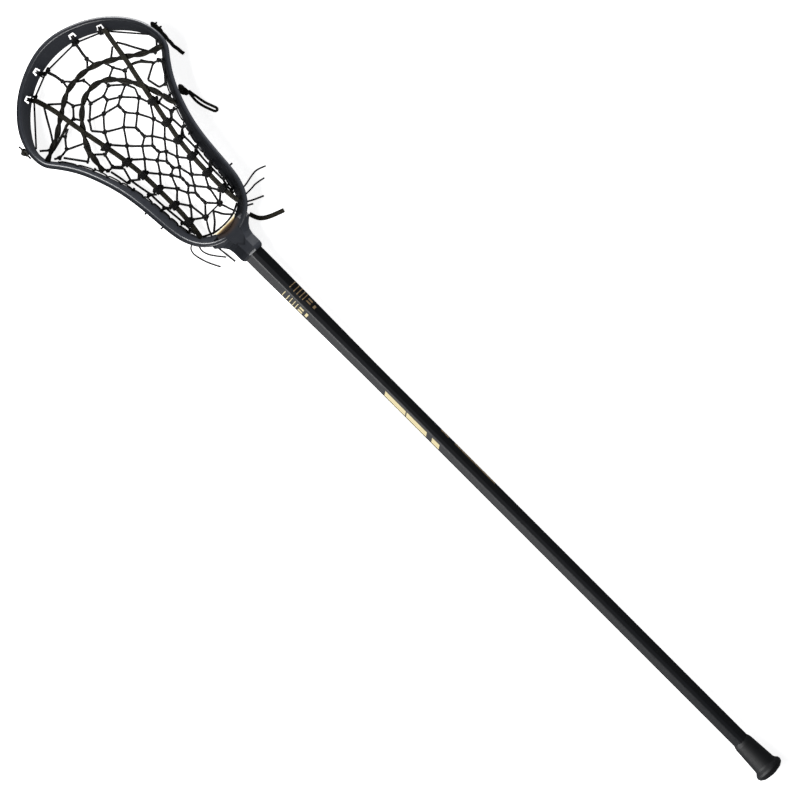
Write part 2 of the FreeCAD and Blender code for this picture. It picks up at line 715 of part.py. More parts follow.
def make_knots():
    """The knots outside the walls."""
    for label, ((across, along, height), stretch) in KNOTS.items():
        knot = doc.addObject("Part::Ellipsoid", label)
        knot.Label = label
        knot.Angle1, knot.Angle2, knot.Angle3 = -90, 90, 360
        knot.setExpression("Radius1", "Sizes.knot_radius")
        knot.setExpression("Radius2", "Sizes.knot_radius")
        knot.setExpression("Radius3", f"Sizes.knot_radius * {stretch}")
        knot.Placement.Base = drawn(across, along, height)


# ---------------------------------------------------------------- loose ends

# The route of each loose end, from where it leaves the head: (across, along, height).
LOOSE_STRINGS = {
    "right_long_end": [(37.5, 837, 8.2), (44, 837.2, 6.6), (51, 838.8, 3), (58, 840.5, 1), (66, 841.2, 0.95),
                       (75, 837, 0.95)],
    "right_short_end": [(34.5, 830.5, 8.2), (41, 830.2, 6), (48, 830.6, 2.6), (55, 831.5, 0.95),
                        (65, 829, 0.95)],
    "left_long_end": [(-36.5, 834, 8.2), (-43, 832.5, 6), (-46, 826, 2.6), (-44.5, 817, 0.95),
                      (-41, 806, 0.95), (-35, 795, 0.95)],
    "left_short_end": [(-33.5, 829.5, 8.2), (-37.5, 824, 5), (-36, 815, 1.6), (-30.5, 806.5, 0.95),
                       (-23.5, 798, 0.95)],
}
LOOSE_LACES = {
    "upper_lace_end": [(96.6, 1012.8, 22), (96.4, 1006.5, 17), (95.8, 1000, 10.5), (96.2, 992.5, 4.5),
                       (98, 983, 2.3)],
    "lower_lace_end": [(72.8, 950, 12), (73, 942, 7.5), (74, 933, 3.4), (76.5, 925, 2.3),
                       (80, 916.5, 2.3)],
}
LEATHER_END = [(26.5, 812.5, 7), (28.6, 805, 3.4), (34, 799, 1.1), (44, 794, 1.0), (55.5, 790, 1.0)]
SHORT_ENDS = [
    [(32, 825, 7.5), (38, 821.5, 4.5), (44.5, 818.7, 2), (51, 816, 1)],
    [(31, 821, 4), (37, 818, 1.2)],
    [(-22.5, 811, 5), (-21.6, 803, 1.6), (-20.8, 796, 0.95), (-20, 788, 0.95)],
    [(-45.5, 892, 8.5), (-52.5, 891, 5)],
    [(-44, 867.5, 8.5), (-51.5, 868, 5)],
    [(44, 864, 8.5), (51.5, 864, 5)],
]


def route(points):
    """The points of a drawn route on this stick."""
    return [drawn(*point) for point in points]


def flat_cord(points, wide, thick, name):
    """A flat cord along a route, its width level, so it is a little thinner where it slopes."""
    wire = rounded_route(points, name)
    way = (points[1] - points[0]).normalize()
    aside = Vector(way.y, -way.x, 0).normalize()
    up = aside.cross(way)
    start = points[0]
    signs = ((1, 1), (-1, 1), (-1, -1), (1, -1))
    corners = [start + aside * (wide / 2 * i) + up * (thick / 2 * j) for i, j in signs]
    outline = Part.makePolygon(corners + corners[:1])
    sweep = Part.BRepOffsetAPI.MakePipeShell(wire)
    sweep.setBiNormalMode(Vector(0, 0, 1))
    sweep.add(outline)
    sweep.build()
    sweep.makeSolid()
    solid = sweep.shape()
    expected = wide * thick * wire.Length
    if abs(solid.Volume - expected) > 0.08 * expected:
        raise ValueError(f"{name} has volume {solid.Volume:.1f} and needs {expected:.1f}")
    print(f"{name}: {wire.Length:.1f} mm long")
    return solid


def make_loose_ends():
    """The free ends of string, lace and leather beside the head."""
    for label, points in LOOSE_STRINGS.items():
        feature(label, tube(route(points), size("cord_radius"), label))
    for label, points in LOOSE_LACES.items():
        feature(label, tube(route(points), size("lace_cord_radius"), label))
    leather = flat_cord(route(LEATHER_END), size("leather_wide"), size("leather_thick"), "leather_end")
    feature("leather_end", leather)
    stubs = [tube(route(points), size("string_radius")) for points in SHORT_ENDS]
    feature("short_ends", Part.makeCompound(stubs))


# ---------------------------------------------------------------- build

def write_parts():
    """Check every part and write it as a STEP file."""
    doc.recompute()
    for item in doc.Objects:
        if "Invalid" in item.State or "Error" in item.State:
            raise ValueError(f"{item.Label} failed: {item.State}")
    sub_parts = [item for item in doc.Objects
                 if item.TypeId in ("PartDesign::Body", "Part::Feature", "Part::Ellipsoid")]
    for item in sub_parts:
        if item.Shape.isNull() or not item.Shape.isValid():
            raise ValueError(f"{item.Label} has no valid shape")
    os.makedirs("parts", exist_ok=True)
    for item in sub_parts:
        box = item.Shape.BoundBox
        print(f"{item.Label}: {len(item.Shape.Solids)} solids, {item.Shape.Volume:.0f} mm3, "
              f"x {box.XMin:.1f} {box.XMax:.1f}, y {box.YMin:.1f} {box.YMax:.1f}, "
              f"z {box.ZMin:.1f} {box.ZMax:.1f}")
        item.Shape.exportStep(f"parts/{item.Label}.step")


make_shaft()
make_cap()
make_head()
make_screw()
make_ball_stop()
make_strap("left_thong", LEFT_THONG, size("strap_wide"), size("strap_thick"), THONG_LIFT)
make_strap("right_thong", RIGHT_THONG, size("strap_wide"), size("strap_thick"), THONG_LIFT)
make_strap("upper_lace", UPPER_LACE, size("lace_wide"), size("lace_thick"), LACE_LIFT)
make_strap("lower_lace", LOWER_LACE, size("lace_wide"), size("lace_thick"), LACE_LIFT)
make_nets()
make_edge_strings()
make_knots()
make_loose_ends()
write_parts()
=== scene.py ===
"""Lacrosse stick: the net, straps, laces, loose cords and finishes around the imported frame."""
from __future__ import annotations

import logging
import math
from dataclasses import dataclass
from enum import Enum
from typing import Sequence

import bpy
from mathutils import Matrix, Vector


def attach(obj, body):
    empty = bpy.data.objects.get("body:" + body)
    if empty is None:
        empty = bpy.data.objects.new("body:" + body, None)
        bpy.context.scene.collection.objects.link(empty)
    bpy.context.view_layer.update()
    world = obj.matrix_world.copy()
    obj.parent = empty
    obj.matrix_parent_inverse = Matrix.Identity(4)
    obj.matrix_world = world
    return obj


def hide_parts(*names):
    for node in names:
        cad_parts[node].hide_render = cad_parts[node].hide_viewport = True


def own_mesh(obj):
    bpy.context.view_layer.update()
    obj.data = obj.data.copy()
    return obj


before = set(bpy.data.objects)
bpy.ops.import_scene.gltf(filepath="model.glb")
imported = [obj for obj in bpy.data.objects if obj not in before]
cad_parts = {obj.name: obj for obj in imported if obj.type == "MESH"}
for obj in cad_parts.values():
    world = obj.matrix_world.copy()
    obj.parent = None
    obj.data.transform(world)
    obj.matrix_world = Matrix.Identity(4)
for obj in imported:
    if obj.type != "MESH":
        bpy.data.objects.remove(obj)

log = logging.getLogger("lacrosse_stick")

MM = 0.001
HALF_LENGTH = 545.25            # mm from the butt to the middle of the stick, where y is 0
RIDES_ON = "stick"              # the body of every new piece, because the pocket only flattens
Spot = tuple[float, float]      # mm across the stick, and along it from the butt
Bend = tuple[float, float, float]   # the same, and the height over the surface
Side = tuple[float, float]      # the left and right place across of one pair
Colour = tuple[float, float, float]     # red, green and blue


class Slot(Enum):
    """The record's slots that the new pieces take their finish from."""

    STRING = "net_string"
    LACE = "lace_cord"
    STRAP = "thong_leather"


# ---------------------------------------------------------------- shader helpers


class Graph:
    """A node tree that nodes are added to and joined in."""

    def __init__(self, tree: bpy.types.NodeTree) -> None:
        """Hold the tree.

        Args:
            tree: the tree of a material or of a node group.
        """
        self.tree = tree

    def add(self, kind: str, **settings: object) -> bpy.types.Node:
        """Add a node.

        Args:
            kind: the node's type name without its ShaderNode start.
            settings: properties of the node, such as operation.

        Returns:
            The new node.
        """
        node = self.tree.nodes.new("ShaderNode" + kind)
        for name, value in settings.items():
            setattr(node, name, value)
        return node

    def join(self, source: object, target: bpy.types.NodeSocket) -> None:
        """Feed a socket from another socket, or give it a plain value.

        Args:
            source: a node's output socket, or a number or tuple.
            target: the input socket.
        """
        if isinstance(source, bpy.types.NodeSocket):
            self.tree.links.new(source, target)
        else:
            target.default_value = source

    def math(self, operation: str, *values: object) -> bpy.types.NodeSocket:
        """Add a Math node.

        Args:
            operation: the node's operation.
            values: sockets or numbers for its inputs, in order.

        Returns:
            The node's output socket.
        """
        node = self.add("Math", operation=operation)
        for value, target in zip(values, node.inputs):
            self.join(value, target)
        return node.outputs[0]

    def ramp(self, value: bpy.types.NodeSocket,
             stops: Sequence[tuple[float, Colour]]) -> bpy.types.NodeSocket:
        """Add a colour ramp.

        Args:
            value: the socket that drives it.
            stops: each stop's place and colour.

        Returns:
            The colour output.
        """
        node = self.add("ValToRGB")
        elements = node.color_ramp.elements
        while len(elements) < len(stops):
            elements.new(1.0)
        for element, (at, colour) in zip(elements, stops):
            element.position = at
            element.color = (*colour, 1.0)
        self.join(value, node.inputs["Fac"])
        return node.outputs["Color"]

    def mix(self, share: object, first: object, second: object) -> bpy.types.NodeSocket:
        """Blend two colours.

        Args:
            share: how much of the second colour shows, from 0 to 1.
            first: colour socket or red, green and blue.
            second: colour socket or red, green and blue.

        Returns:
            The mixed colour.
        """
        node = self.add("Mix", data_type="RGBA")
        fed = ((share, node.inputs[0]), (first, node.inputs[6]), (second, node.inputs[7]))
        for value, target in fed:
            self.join((*value, 1.0) if isinstance(value, tuple) else value, target)
        return node.outputs[2]


def new_group(name: str, inputs: dict[str, float],
              outputs: Sequence[str]) -> tuple[Graph, bpy.types.Node, bpy.types.Node]:
    """Start a shader node group with named sockets.

    Args:
        name: the group's name.
        inputs: each input's name and its usual value.
        outputs: the names of the outputs, all plain values.

    Returns:
        The group's graph, its input node and its output node.
    """
    tree = bpy.data.node_groups.new(name, "ShaderNodeTree")
    for label, value in inputs.items():
        socket = tree.interface.new_socket(label, in_out="INPUT", socket_type="NodeSocketFloat")
        socket.default_value = value
    for label in outputs:
        tree.interface.new_socket(label, in_out="OUTPUT", socket_type="NodeSocketFloat")
    return Graph(tree), tree.nodes.new("NodeGroupInput"), tree.nodes.new("NodeGroupOutput")


def place_group(graph: Graph, group: bpy.types.NodeTree,
                values: dict[str, float]) -> bpy.types.Node:
    """Put a node group in a material.

    Args:
        graph: the material's graph.
        group: the group to use.
        values: the group's own values here.

    Returns:
        The group node.
    """
    node = graph.add("Group")
    node.node_tree = group
    for label, value in values.items():
        node.inputs[label].default_value = value
    return node


class Effects:
    """The effects that several finishes share, each a node group built once."""

    def __init__(self) -> None:
        """Build every group."""
        self.grain = self._grain()
        self.handling = self._handling()
        self.twist = self._twist()
        self.bar = self._bar()

    @staticmethod
    def _grain() -> bpy.types.NodeTree:
        """Build the fine moulded or cast grain.

        Returns:
            The node group.
        """
        graph, given, out = new_group("fine_grain", {"Per metre": 900.0, "Stretch": 1.0},
                                      ("Height", "Speckle"))
        place = graph.add("TexCoord").outputs["Object"]
        stretched = graph.add("CombineXYZ")
        graph.join(1.0, stretched.inputs[0])
        graph.join(given.outputs["Stretch"], stretched.inputs[1])
        graph.join(1.0, stretched.inputs[2])
        scaled = graph.add("VectorMath", operation="MULTIPLY")
        graph.join(place, scaled.inputs[0])
        graph.join(stretched.outputs[0], scaled.inputs[1])
        fine = graph.add("TexNoise")
        fine.inputs["Detail"].default_value = 3.0
        graph.join(scaled.outputs[0], fine.inputs["Vector"])
        graph.join(given.outputs["Per metre"], fine.inputs["Scale"])
        wide = graph.add("TexNoise")
        graph.join(scaled.outputs[0], wide.inputs["Vector"])
        graph.join(graph.math("MULTIPLY", given.outputs["Per metre"], 0.12), wide.inputs["Scale"])
        graph.join(fine.outputs["Fac"], out.inputs["Height"])
        graph.join(wide.outputs["Fac"], out.inputs["Speckle"])
        return graph.tree

    @staticmethod
    def _handling() -> bpy.types.NodeTree:
        """Build the cloudy mask of handling and dust.

        Returns:
            The node group.
        """
        graph, given, out = new_group("handling_marks", {"Per metre": 40.0, "Share": 0.4},
                                      ("Mask",))
        place = graph.add("TexCoord").outputs["Object"]
        cloud = graph.add("TexNoise")
        cloud.inputs["Detail"].default_value = 5.0
        cloud.inputs["Roughness"].default_value = 0.65
        graph.join(place, cloud.inputs["Vector"])
        graph.join(given.outputs["Per metre"], cloud.inputs["Scale"])
        least = graph.math("SUBTRACT", 1.0, given.outputs["Share"])
        lifted = graph.math("SUBTRACT", cloud.outputs["Fac"], least)
        sharper = graph.math("MULTIPLY", lifted, 3.0)
        graph.join(graph.math("MAXIMUM", sharper, 0.0), out.inputs["Mask"])
        return graph.tree

    @staticmethod
    def _twist() -> bpy.types.NodeTree:
        """Build the strands that run round a string, from its own UV map, and the share of painted
        shade in the valleys between them.

        Returns:
            The node group.
        """
        graph, given, out = new_group(
            "strand_twist", {"Strands": 3.0, "Pitch": 4.0, "Cross": 0.0}, ("Height", "Valley"))
        parts = graph.add("SeparateXYZ")
        graph.join(graph.add("UVMap").outputs["UV"], parts.inputs[0])
        round_turns = graph.math("MULTIPLY", parts.outputs[0], given.outputs["Strands"])
        along_turns = graph.math("DIVIDE", parts.outputs[1], given.outputs["Pitch"])
        waves = []
        for sense in ("ADD", "SUBTRACT"):
            turn = graph.math("MULTIPLY", graph.math(sense, round_turns, along_turns), math.tau)
            waves.append(graph.math("MULTIPLY_ADD", graph.math("SINE", turn), 0.5, 0.5))
        cross = given.outputs["Cross"]
        crossed = graph.math("MULTIPLY", graph.math("MAXIMUM", waves[0], waves[1]), cross)
        plain = graph.math("MULTIPLY", waves[0], graph.math("SUBTRACT", 1.0, cross))
        height = graph.math("ADD", plain, crossed)
        graph.join(height, out.inputs["Height"])
        # the valleys between the strands get painted shade
        graph.join(graph.math("SUBTRACT", 1.0, height), out.inputs["Valley"])
        return graph.tree

    @staticmethod
    def _bar() -> bpy.types.NodeTree:
        """Build one printed bar as a mask on the piece's coordinates.

        Returns:
            The node group.
        """
        graph, given, out = new_group(
            "printed_bar", {"Middle along": 0.0, "Half length": 0.01, "Middle across": 0.0,
                            "Half width": 0.004, "Lean": 0.0}, ("Mask",))
        parts = graph.add("SeparateXYZ")
        graph.join(graph.add("TexCoord").outputs["Object"], parts.inputs[0])
        offset = graph.math("SUBTRACT", parts.outputs[0], given.outputs["Middle across"])
        slope = graph.math("MULTIPLY", offset, given.outputs["Lean"])
        leaned = graph.math("SUBTRACT", parts.outputs[1], slope)
        along = graph.math("COMPARE", leaned, given.outputs["Middle along"],
                           given.outputs["Half length"])
        across = graph.math("COMPARE", parts.outputs[0], given.outputs["Middle across"],
                            given.outputs["Half width"])
        graph.join(graph.math("MULTIPLY", along, across), out.inputs["Mask"])
        return graph.tree


@dataclass(frozen=True)
class Canvas:
    """One material while it is painted: its graph and its main nodes."""

    graph: Graph
    effects: Effects
    surface: bpy.types.Node     # the Principled shader
    grain: bpy.types.Node
    marks: bpy.types.Node       # the handling group

    def worn(self, colour: Colour, pale: Colour) -> bpy.types.NodeSocket:
        """Give a colour that is paler where the piece has been handled."""
        return self.graph.mix(self.marks.outputs["Mask"], colour, pale)

    def place(self, group: bpy.types.NodeTree, **values: float) -> bpy.types.Node:
        """Put a node group in the material.

        Args:
            group: the group to use.
            values: the group's own values here, with an underscore for a space.

        Returns:
            The group node.
        """
        named = {label.replace("_", " "): value for label, value in values.items()}
        return place_group(self.graph, group, named)


@dataclass(frozen=True)
class Finish:
    """What every finish has: a base colour, a gloss and a fine grain."""

    name: str
    colour: Colour
    roughness: float
    grain_per_metre: float = 900.0
    grain_depth: float = 0.00003
    stretch: float = 1.0
    metallic: float = 0.0
    specular: float = 0.5
    marks_per_metre: float = 38.0
    marks_share: float = 0.42
    speckle_gloss: float = 0.12     # how far the speckle moves the roughness
    marks_gloss: float = 0.10       # and the handling

    def material(self, effects: Effects) -> bpy.types.Material:
        """Make the finish as a material.

        Args:
            effects: the shared node groups.

        Returns:
            The material.
        """
        made = bpy.data.materials.new(self.name)
        made.use_nodes = True
        graph = Graph(made.node_tree)
        surface = made.node_tree.nodes["Principled BSDF"]
        surface.inputs["Metallic"].default_value = self.metallic
        surface.inputs["Specular IOR Level"].default_value = self.specular
        grain = place_group(graph, effects.grain,
                            {"Per metre": self.grain_per_metre, "Stretch": self.stretch})
        marks = place_group(graph, effects.handling,
                            {"Per metre": self.marks_per_metre, "Share": self.marks_share})
        gloss = graph.math("MULTIPLY_ADD", grain.outputs["Speckle"], self.speckle_gloss,
                           self.roughness - self.speckle_gloss / 2)
        rough = graph.math("MULTIPLY_ADD", marks.outputs["Mask"], self.marks_gloss, gloss)
        graph.join(rough, surface.inputs["Roughness"])
        height = self.paint(Canvas(graph, effects, surface, grain, marks))
        bump = graph.add("Bump")
        bump.inputs["Distance"].default_value = self.grain_depth
        graph.join(height, bump.inputs["Height"])
        graph.join(bump.outputs["Normal"], surface.inputs["Normal"])
        return made

    def paint(self, canvas: Canvas) -> bpy.types.NodeSocket:
        """Colour the surface, and say what its relief is.

        Args:
            canvas: the material so far.

        Returns:
            The socket that gives the relief's height.
        """
        pale = tuple(min(1.0, part * 1.6 + 0.004) for part in self.colour)
        canvas.graph.join(canvas.worn(self.colour, pale), canvas.surface.inputs["Base Color"])
        return canvas.grain.outputs["Height"]


@dataclass(frozen=True)
class Corded(Finish):
    """A string, lace or strap, whose strands follow its own length, with shade painted into the
    valleys between the strands.
    """

    specular: float = 0.25
    strands: float = 3.0
    pitch: float = 4.0
    cross: float = 0.0
    strand_colour: Colour = (0.03, 0.03, 0.03)
    sheen: float = 0.25
    fibre_share: float = 0.25

    def paint(self, canvas: Canvas) -> bpy.types.NodeSocket:
        """Colour the strands, and paint shade into the valleys between them.

        Args:
            canvas: the material so far.

        Returns:
            The socket that gives the relief's height.
        """
        graph, surface = canvas.graph, canvas.surface
        surface.inputs["Sheen Weight"].default_value = self.sheen
        surface.inputs["Sheen Roughness"].default_value = 0.4
        twist = canvas.place(canvas.effects.twist, Strands=self.strands, Pitch=self.pitch,
                             Cross=self.cross)
        strand = canvas.worn(self.strand_colour, tuple(part * 1.5 for part in self.strand_colour))
        # painted shade: the darker base colour fills the valleys between the strands
        shade = graph.mix(twist.outputs["Valley"], strand, self.colour)
        graph.join(shade, surface.inputs["Base Color"])
        fibres = graph.math("MULTIPLY", canvas.grain.outputs["Height"], self.fibre_share)
        return graph.math("ADD", twist.outputs["Height"], fibres)


@dataclass(frozen=True)
class LipFoil(Finish):
    """The foil on the ball stop's lip: gold, with a cream painted highlight at the pocket and
    painted shade in brown to black at the throat.
    """

    start: float = 815.4        # mm from the butt
    end: float = 820.6
    speckle_share: float = 0.10

    def paint(self, canvas: Canvas) -> bpy.types.NodeSocket:
        """Colour the foil along the stick, with its painted highlight and shade.

        Args:
            canvas: the material so far.

        Returns:
            The socket that gives the relief's height.
        """
        graph = canvas.graph
        parts = graph.add("SeparateXYZ")
        graph.join(graph.add("TexCoord").outputs["Object"], parts.inputs[0])
        span = graph.add("MapRange")
        graph.join(parts.outputs[1], span.inputs["Value"])
        graph.join((self.start - HALF_LENGTH) * MM, span.inputs["From Min"])
        graph.join((self.end - HALF_LENGTH) * MM, span.inputs["From Max"])
        speckle = graph.math("SUBTRACT", canvas.grain.outputs["Speckle"], 0.5)
        shade_to_highlight = graph.math("MULTIPLY_ADD", speckle, self.speckle_share, span.outputs["Result"])
        # Painted light: near black and brown at the low end are painted shade, cream at the top a
        # painted highlight; the gold between is the foil's own colour.
        foil = graph.ramp(shade_to_highlight, (
            (0.0, (0.012, 0.007, 0.004)), (0.4, (0.034, 0.019, 0.009)), (0.66, (0.16, 0.10, 0.045)),
            (0.84, self.colour), (1.0, (0.95, 0.90, 0.74))))
        graph.join(foil, canvas.surface.inputs["Base Color"])
        return canvas.grain.outputs["Height"]


@dataclass(frozen=True)
class Bar:
    """One printed bar on the shaft, with its places in millimetres from the butt and across."""

    low: float
    high: float
    left: float
    right: float
    lean: float = 0.0


@dataclass(frozen=True)
class PrintedShaft(Finish):
    """The satin shaft with its plain printed bars, whose one ink is painted lighter on the lit left
    side and darker on the shaded right side.
    """

    # One ink, painted as lit on the left facets and as in shade on the right facets.
    lit_ink: Colour = (0.42, 0.36, 0.20)
    shaded_ink: Colour = (0.42, 0.29, 0.15)
    film: float = 1.5               # the ink's height against the grain's
    lit_side_bars: tuple[Bar, ...] = ()
    shaded_side_bars: tuple[Bar, ...] = ()

    def paint(self, canvas: Canvas) -> bpy.types.NodeSocket:
        """Lay the bars over the satin.

        Args:
            canvas: the material so far.

        Returns:
            The socket that gives the relief's height.
        """
        graph = canvas.graph
        worn = canvas.worn(self.colour, tuple(part * 1.5 + 0.003 for part in self.colour))
        masks = []
        # The right-side bars take the ink painted as in shade, the left-side bars the same ink
        # painted as lit.
        for colour, bars in ((self.shaded_ink, self.shaded_side_bars), (self.lit_ink, self.lit_side_bars)):
            mask: object = 0.0
            for bar in bars:
                node = canvas.place(
                    canvas.effects.bar, Middle_along=((bar.low + bar.high) / 2 - HALF_LENGTH) * MM,
                    Half_length=(bar.high - bar.low) / 2 * MM,
                    Middle_across=(bar.left + bar.right) / 2 * MM,
                    Half_width=(bar.right - bar.left) / 2 * MM, Lean=bar.lean)
                mask = graph.math("MAXIMUM", mask, node.outputs["Mask"])
            worn = graph.mix(mask, worn, colour)
            masks.append(mask)
        graph.join(worn, canvas.surface.inputs["Base Color"])
        film = graph.math("MAXIMUM", masks[0], masks[1])
        return graph.math("MULTIPLY_ADD", film, self.film, canvas.grain.outputs["Height"])


@dataclass(frozen=True)
class HeadNylon(Finish):
    """The head's satin nylon, tinted brown round the lip of the throat."""

    tint: Colour = (0.035, 0.017, 0.007)
    tint_centre: Bend = (0.0, 818.4, 32.0)
    tint_reach: Bend = (19.0, 8.5, 5.0)

    def paint(self, canvas: Canvas) -> bpy.types.NodeSocket:
        """Colour the nylon, and fade the tint out from the lip.

        Args:
            canvas: the material so far.

        Returns:
            The socket that gives the relief's height.
        """
        graph = canvas.graph
        away = graph.add("VectorMath", operation="SUBTRACT")
        graph.join(graph.add("TexCoord").outputs["Object"], away.inputs[0])
        graph.join(tuple(metres(self.tint_centre)), away.inputs[1])
        shares = graph.add("VectorMath", operation="DIVIDE")
        graph.join(away.outputs[0], shares.inputs[0])
        graph.join(tuple(part * MM for part in self.tint_reach), shares.inputs[1])
        length = graph.add("VectorMath", operation="LENGTH")
        graph.join(shares.outputs[0], length.inputs[0])
        fade = graph.math("MAXIMUM", graph.math("SUBTRACT", 1.0, length.outputs["Value"]), 0.0)
        worn = canvas.worn(self.colour, tuple(part * 1.5 + 0.003 for part in self.colour))
        graph.join(graph.mix(fade, worn, self.tint), canvas.surface.inputs["Base Color"])
        return canvas.grain.outputs["Height"]


class Palette:
    """Every finish on the stick."""

    def __init__(self) -> None:
        """Make the materials."""
        effects = Effects()
        self.head = HeadNylon("head_nylon_black", (0.008, 0.0092, 0.0122), 0.38, 1400.0,
                              0.00002).material(effects)
        self.rubber = Finish("cap_rubber_black", (0.007, 0.0075, 0.0085), 0.55, 1100.0, 0.00006,
                             specular=0.4).material(effects)
        self.steel = Finish("screw_steel_dark", (0.30, 0.30, 0.32), 0.34, 2200.0, 0.00001,
                            metallic=1.0).material(effects)
        self.lip = LipFoil("lip_foil_bronze", (0.66, 0.50, 0.22), 0.38, 700.0,
                           0.00001).material(effects)
        # Each cord's base colour is the painted shade in the valleys between its strands;
        # strand_colour is the strands' own colour.
        self.string = Corded("net_string_black", (0.0012, 0.0012, 0.0014), 0.6, 3000.0, 0.00012,
                             strands=2.0, pitch=3.2, strand_colour=(0.0042, 0.0042, 0.0045),
                             sheen=0.04).material(effects)
        self.lace = Corded("lace_cord_olive", (0.0022, 0.0021, 0.0012), 0.55, 2600.0, 0.00016,
                           strands=5.0, pitch=3.4, cross=1.0,
                           strand_colour=(0.0095, 0.0086, 0.0048), sheen=0.06).material(effects)
        self.strap = Corded("strap_weave_olive", (0.006, 0.0055, 0.003), 0.55, 2200.0, 0.0002,
                            strands=7.0, pitch=3.0, cross=1.0,
                            strand_colour=(0.019, 0.0168, 0.0088), sheen=0.03).material(effects)
        rings = (707.5, 711.5, 716.0, 720.5, 726.5)
        thin = 0.45             # half a ring's width along the shaft
        self.shaft = PrintedShaft(
            "shaft_satin_printed", (0.006, 0.0065, 0.008), 0.38, 500.0, 0.00001, stretch=0.15,
            specular=0.34,
            # Bars on the left take the ink painted as lit; bars on the right take the same ink
            # painted as in shade.
            lit_side_bars=(*(Bar(at - thin, at + thin, -10.4, -4.4) for at in rings),
                         Bar(698.0, 704.0, -9.5, -7.9), Bar(698.0, 704.0, -6.6, -5.0),
                         Bar(691.5, 694.5, -8.6, -5.0), Bar(545.5, 576.0, -8.4, -4.4, 0.6),
                         Bar(514.0, 544.0, -8.4, -4.4, 0.6), Bar(495.0, 506.0, -8.4, -4.4, 0.6)),
            shaded_side_bars=(*(Bar(at - thin, at + thin, 1.6, 10.2) for at in rings),
                      Bar(698.0, 704.0, 3.4, 5.0), Bar(698.0, 704.0, 6.6, 8.2),
                      Bar(691.5, 694.5, 3.4, 7.0), Bar(495.0, 507.0, 8.0, 8.8),
                      Bar(426.0, 486.0, 8.0, 8.8))).material(effects)


# ---------------------------------------------------------------- shapes


@dataclass(frozen=True)
class PocketShape:
    """The opening inside the walls and the hollow that the net hangs in, in millimetres."""

    low_end: float = 824.0
    high_end: float = 1071.0
    low_edge: float = 8.0
    high_edge: float = 12.0
    depth: float = 6.0
    opening: tuple[Spot, ...] = (
        (18, 826), (26.5, 830), (34.7, 850), (36, 870), (38.5, 900), (45.7, 930), (56, 960),
        (67.3, 980), (81, 1000), (86.5, 1015), (82.5, 1028), (72.5, 1041), (55, 1058), (40, 1067),
        (20, 1074))

    def half_width(self, along: float) -> float:
        """Give half the opening's width.

        Args:
            along: the place along the stick.

        Returns:
            The distance from the middle to the wall there.
        """
        spots = self.opening
        for (near, start), (far, end) in zip(spots, spots[1:]):
            if along <= end:
                share = max(0.0, (along - start) / (end - start))
                return near + (far - near) * share
        return spots[-1][0]

    def edge(self, along: float) -> float:
        """Give the height of the walls' lower edge at a place along the stick."""
        share = (along - self.low_end) / (self.high_end - self.low_end)
        return self.low_edge + (self.high_edge - self.low_edge) * share

    def sheet(self, across: float, along: float) -> float:
        """Give the height of the hanging net's underside.

        Args:
            across: the place across the stick.
            along: the place along it.

        Returns:
            The height over the surface.
        """
        share = min(1.0, max(0.0, (along - self.low_end) / (self.high_end - self.low_end)))
        side = min(1.0, abs(across) / self.half_width(along))
        return self.edge(along) - self.depth * math.sin(math.pi * share) ** 0.7 * (1 - side * side)

    def on(self, across: float, along: float, lift: float = 0.7) -> Vector:
        """Give a point over the net, in the scene's metres.

        Args:
            across: the place across the stick.
            along: the place along it.
            lift: how far the point is over the net's underside.

        Returns:
            The point.
        """
        return metres((across, along, self.sheet(across, along) + lift))


def metres(bend: Bend) -> Vector:
    """Turn a drawn point into the scene's metres.

    Args:
        bend: millimetres across, along from the butt, and up.

    Returns:
        The point.
    """
    across, along, up = bend
    return Vector((across * MM, (along - HALF_LENGTH) * MM, up * MM))


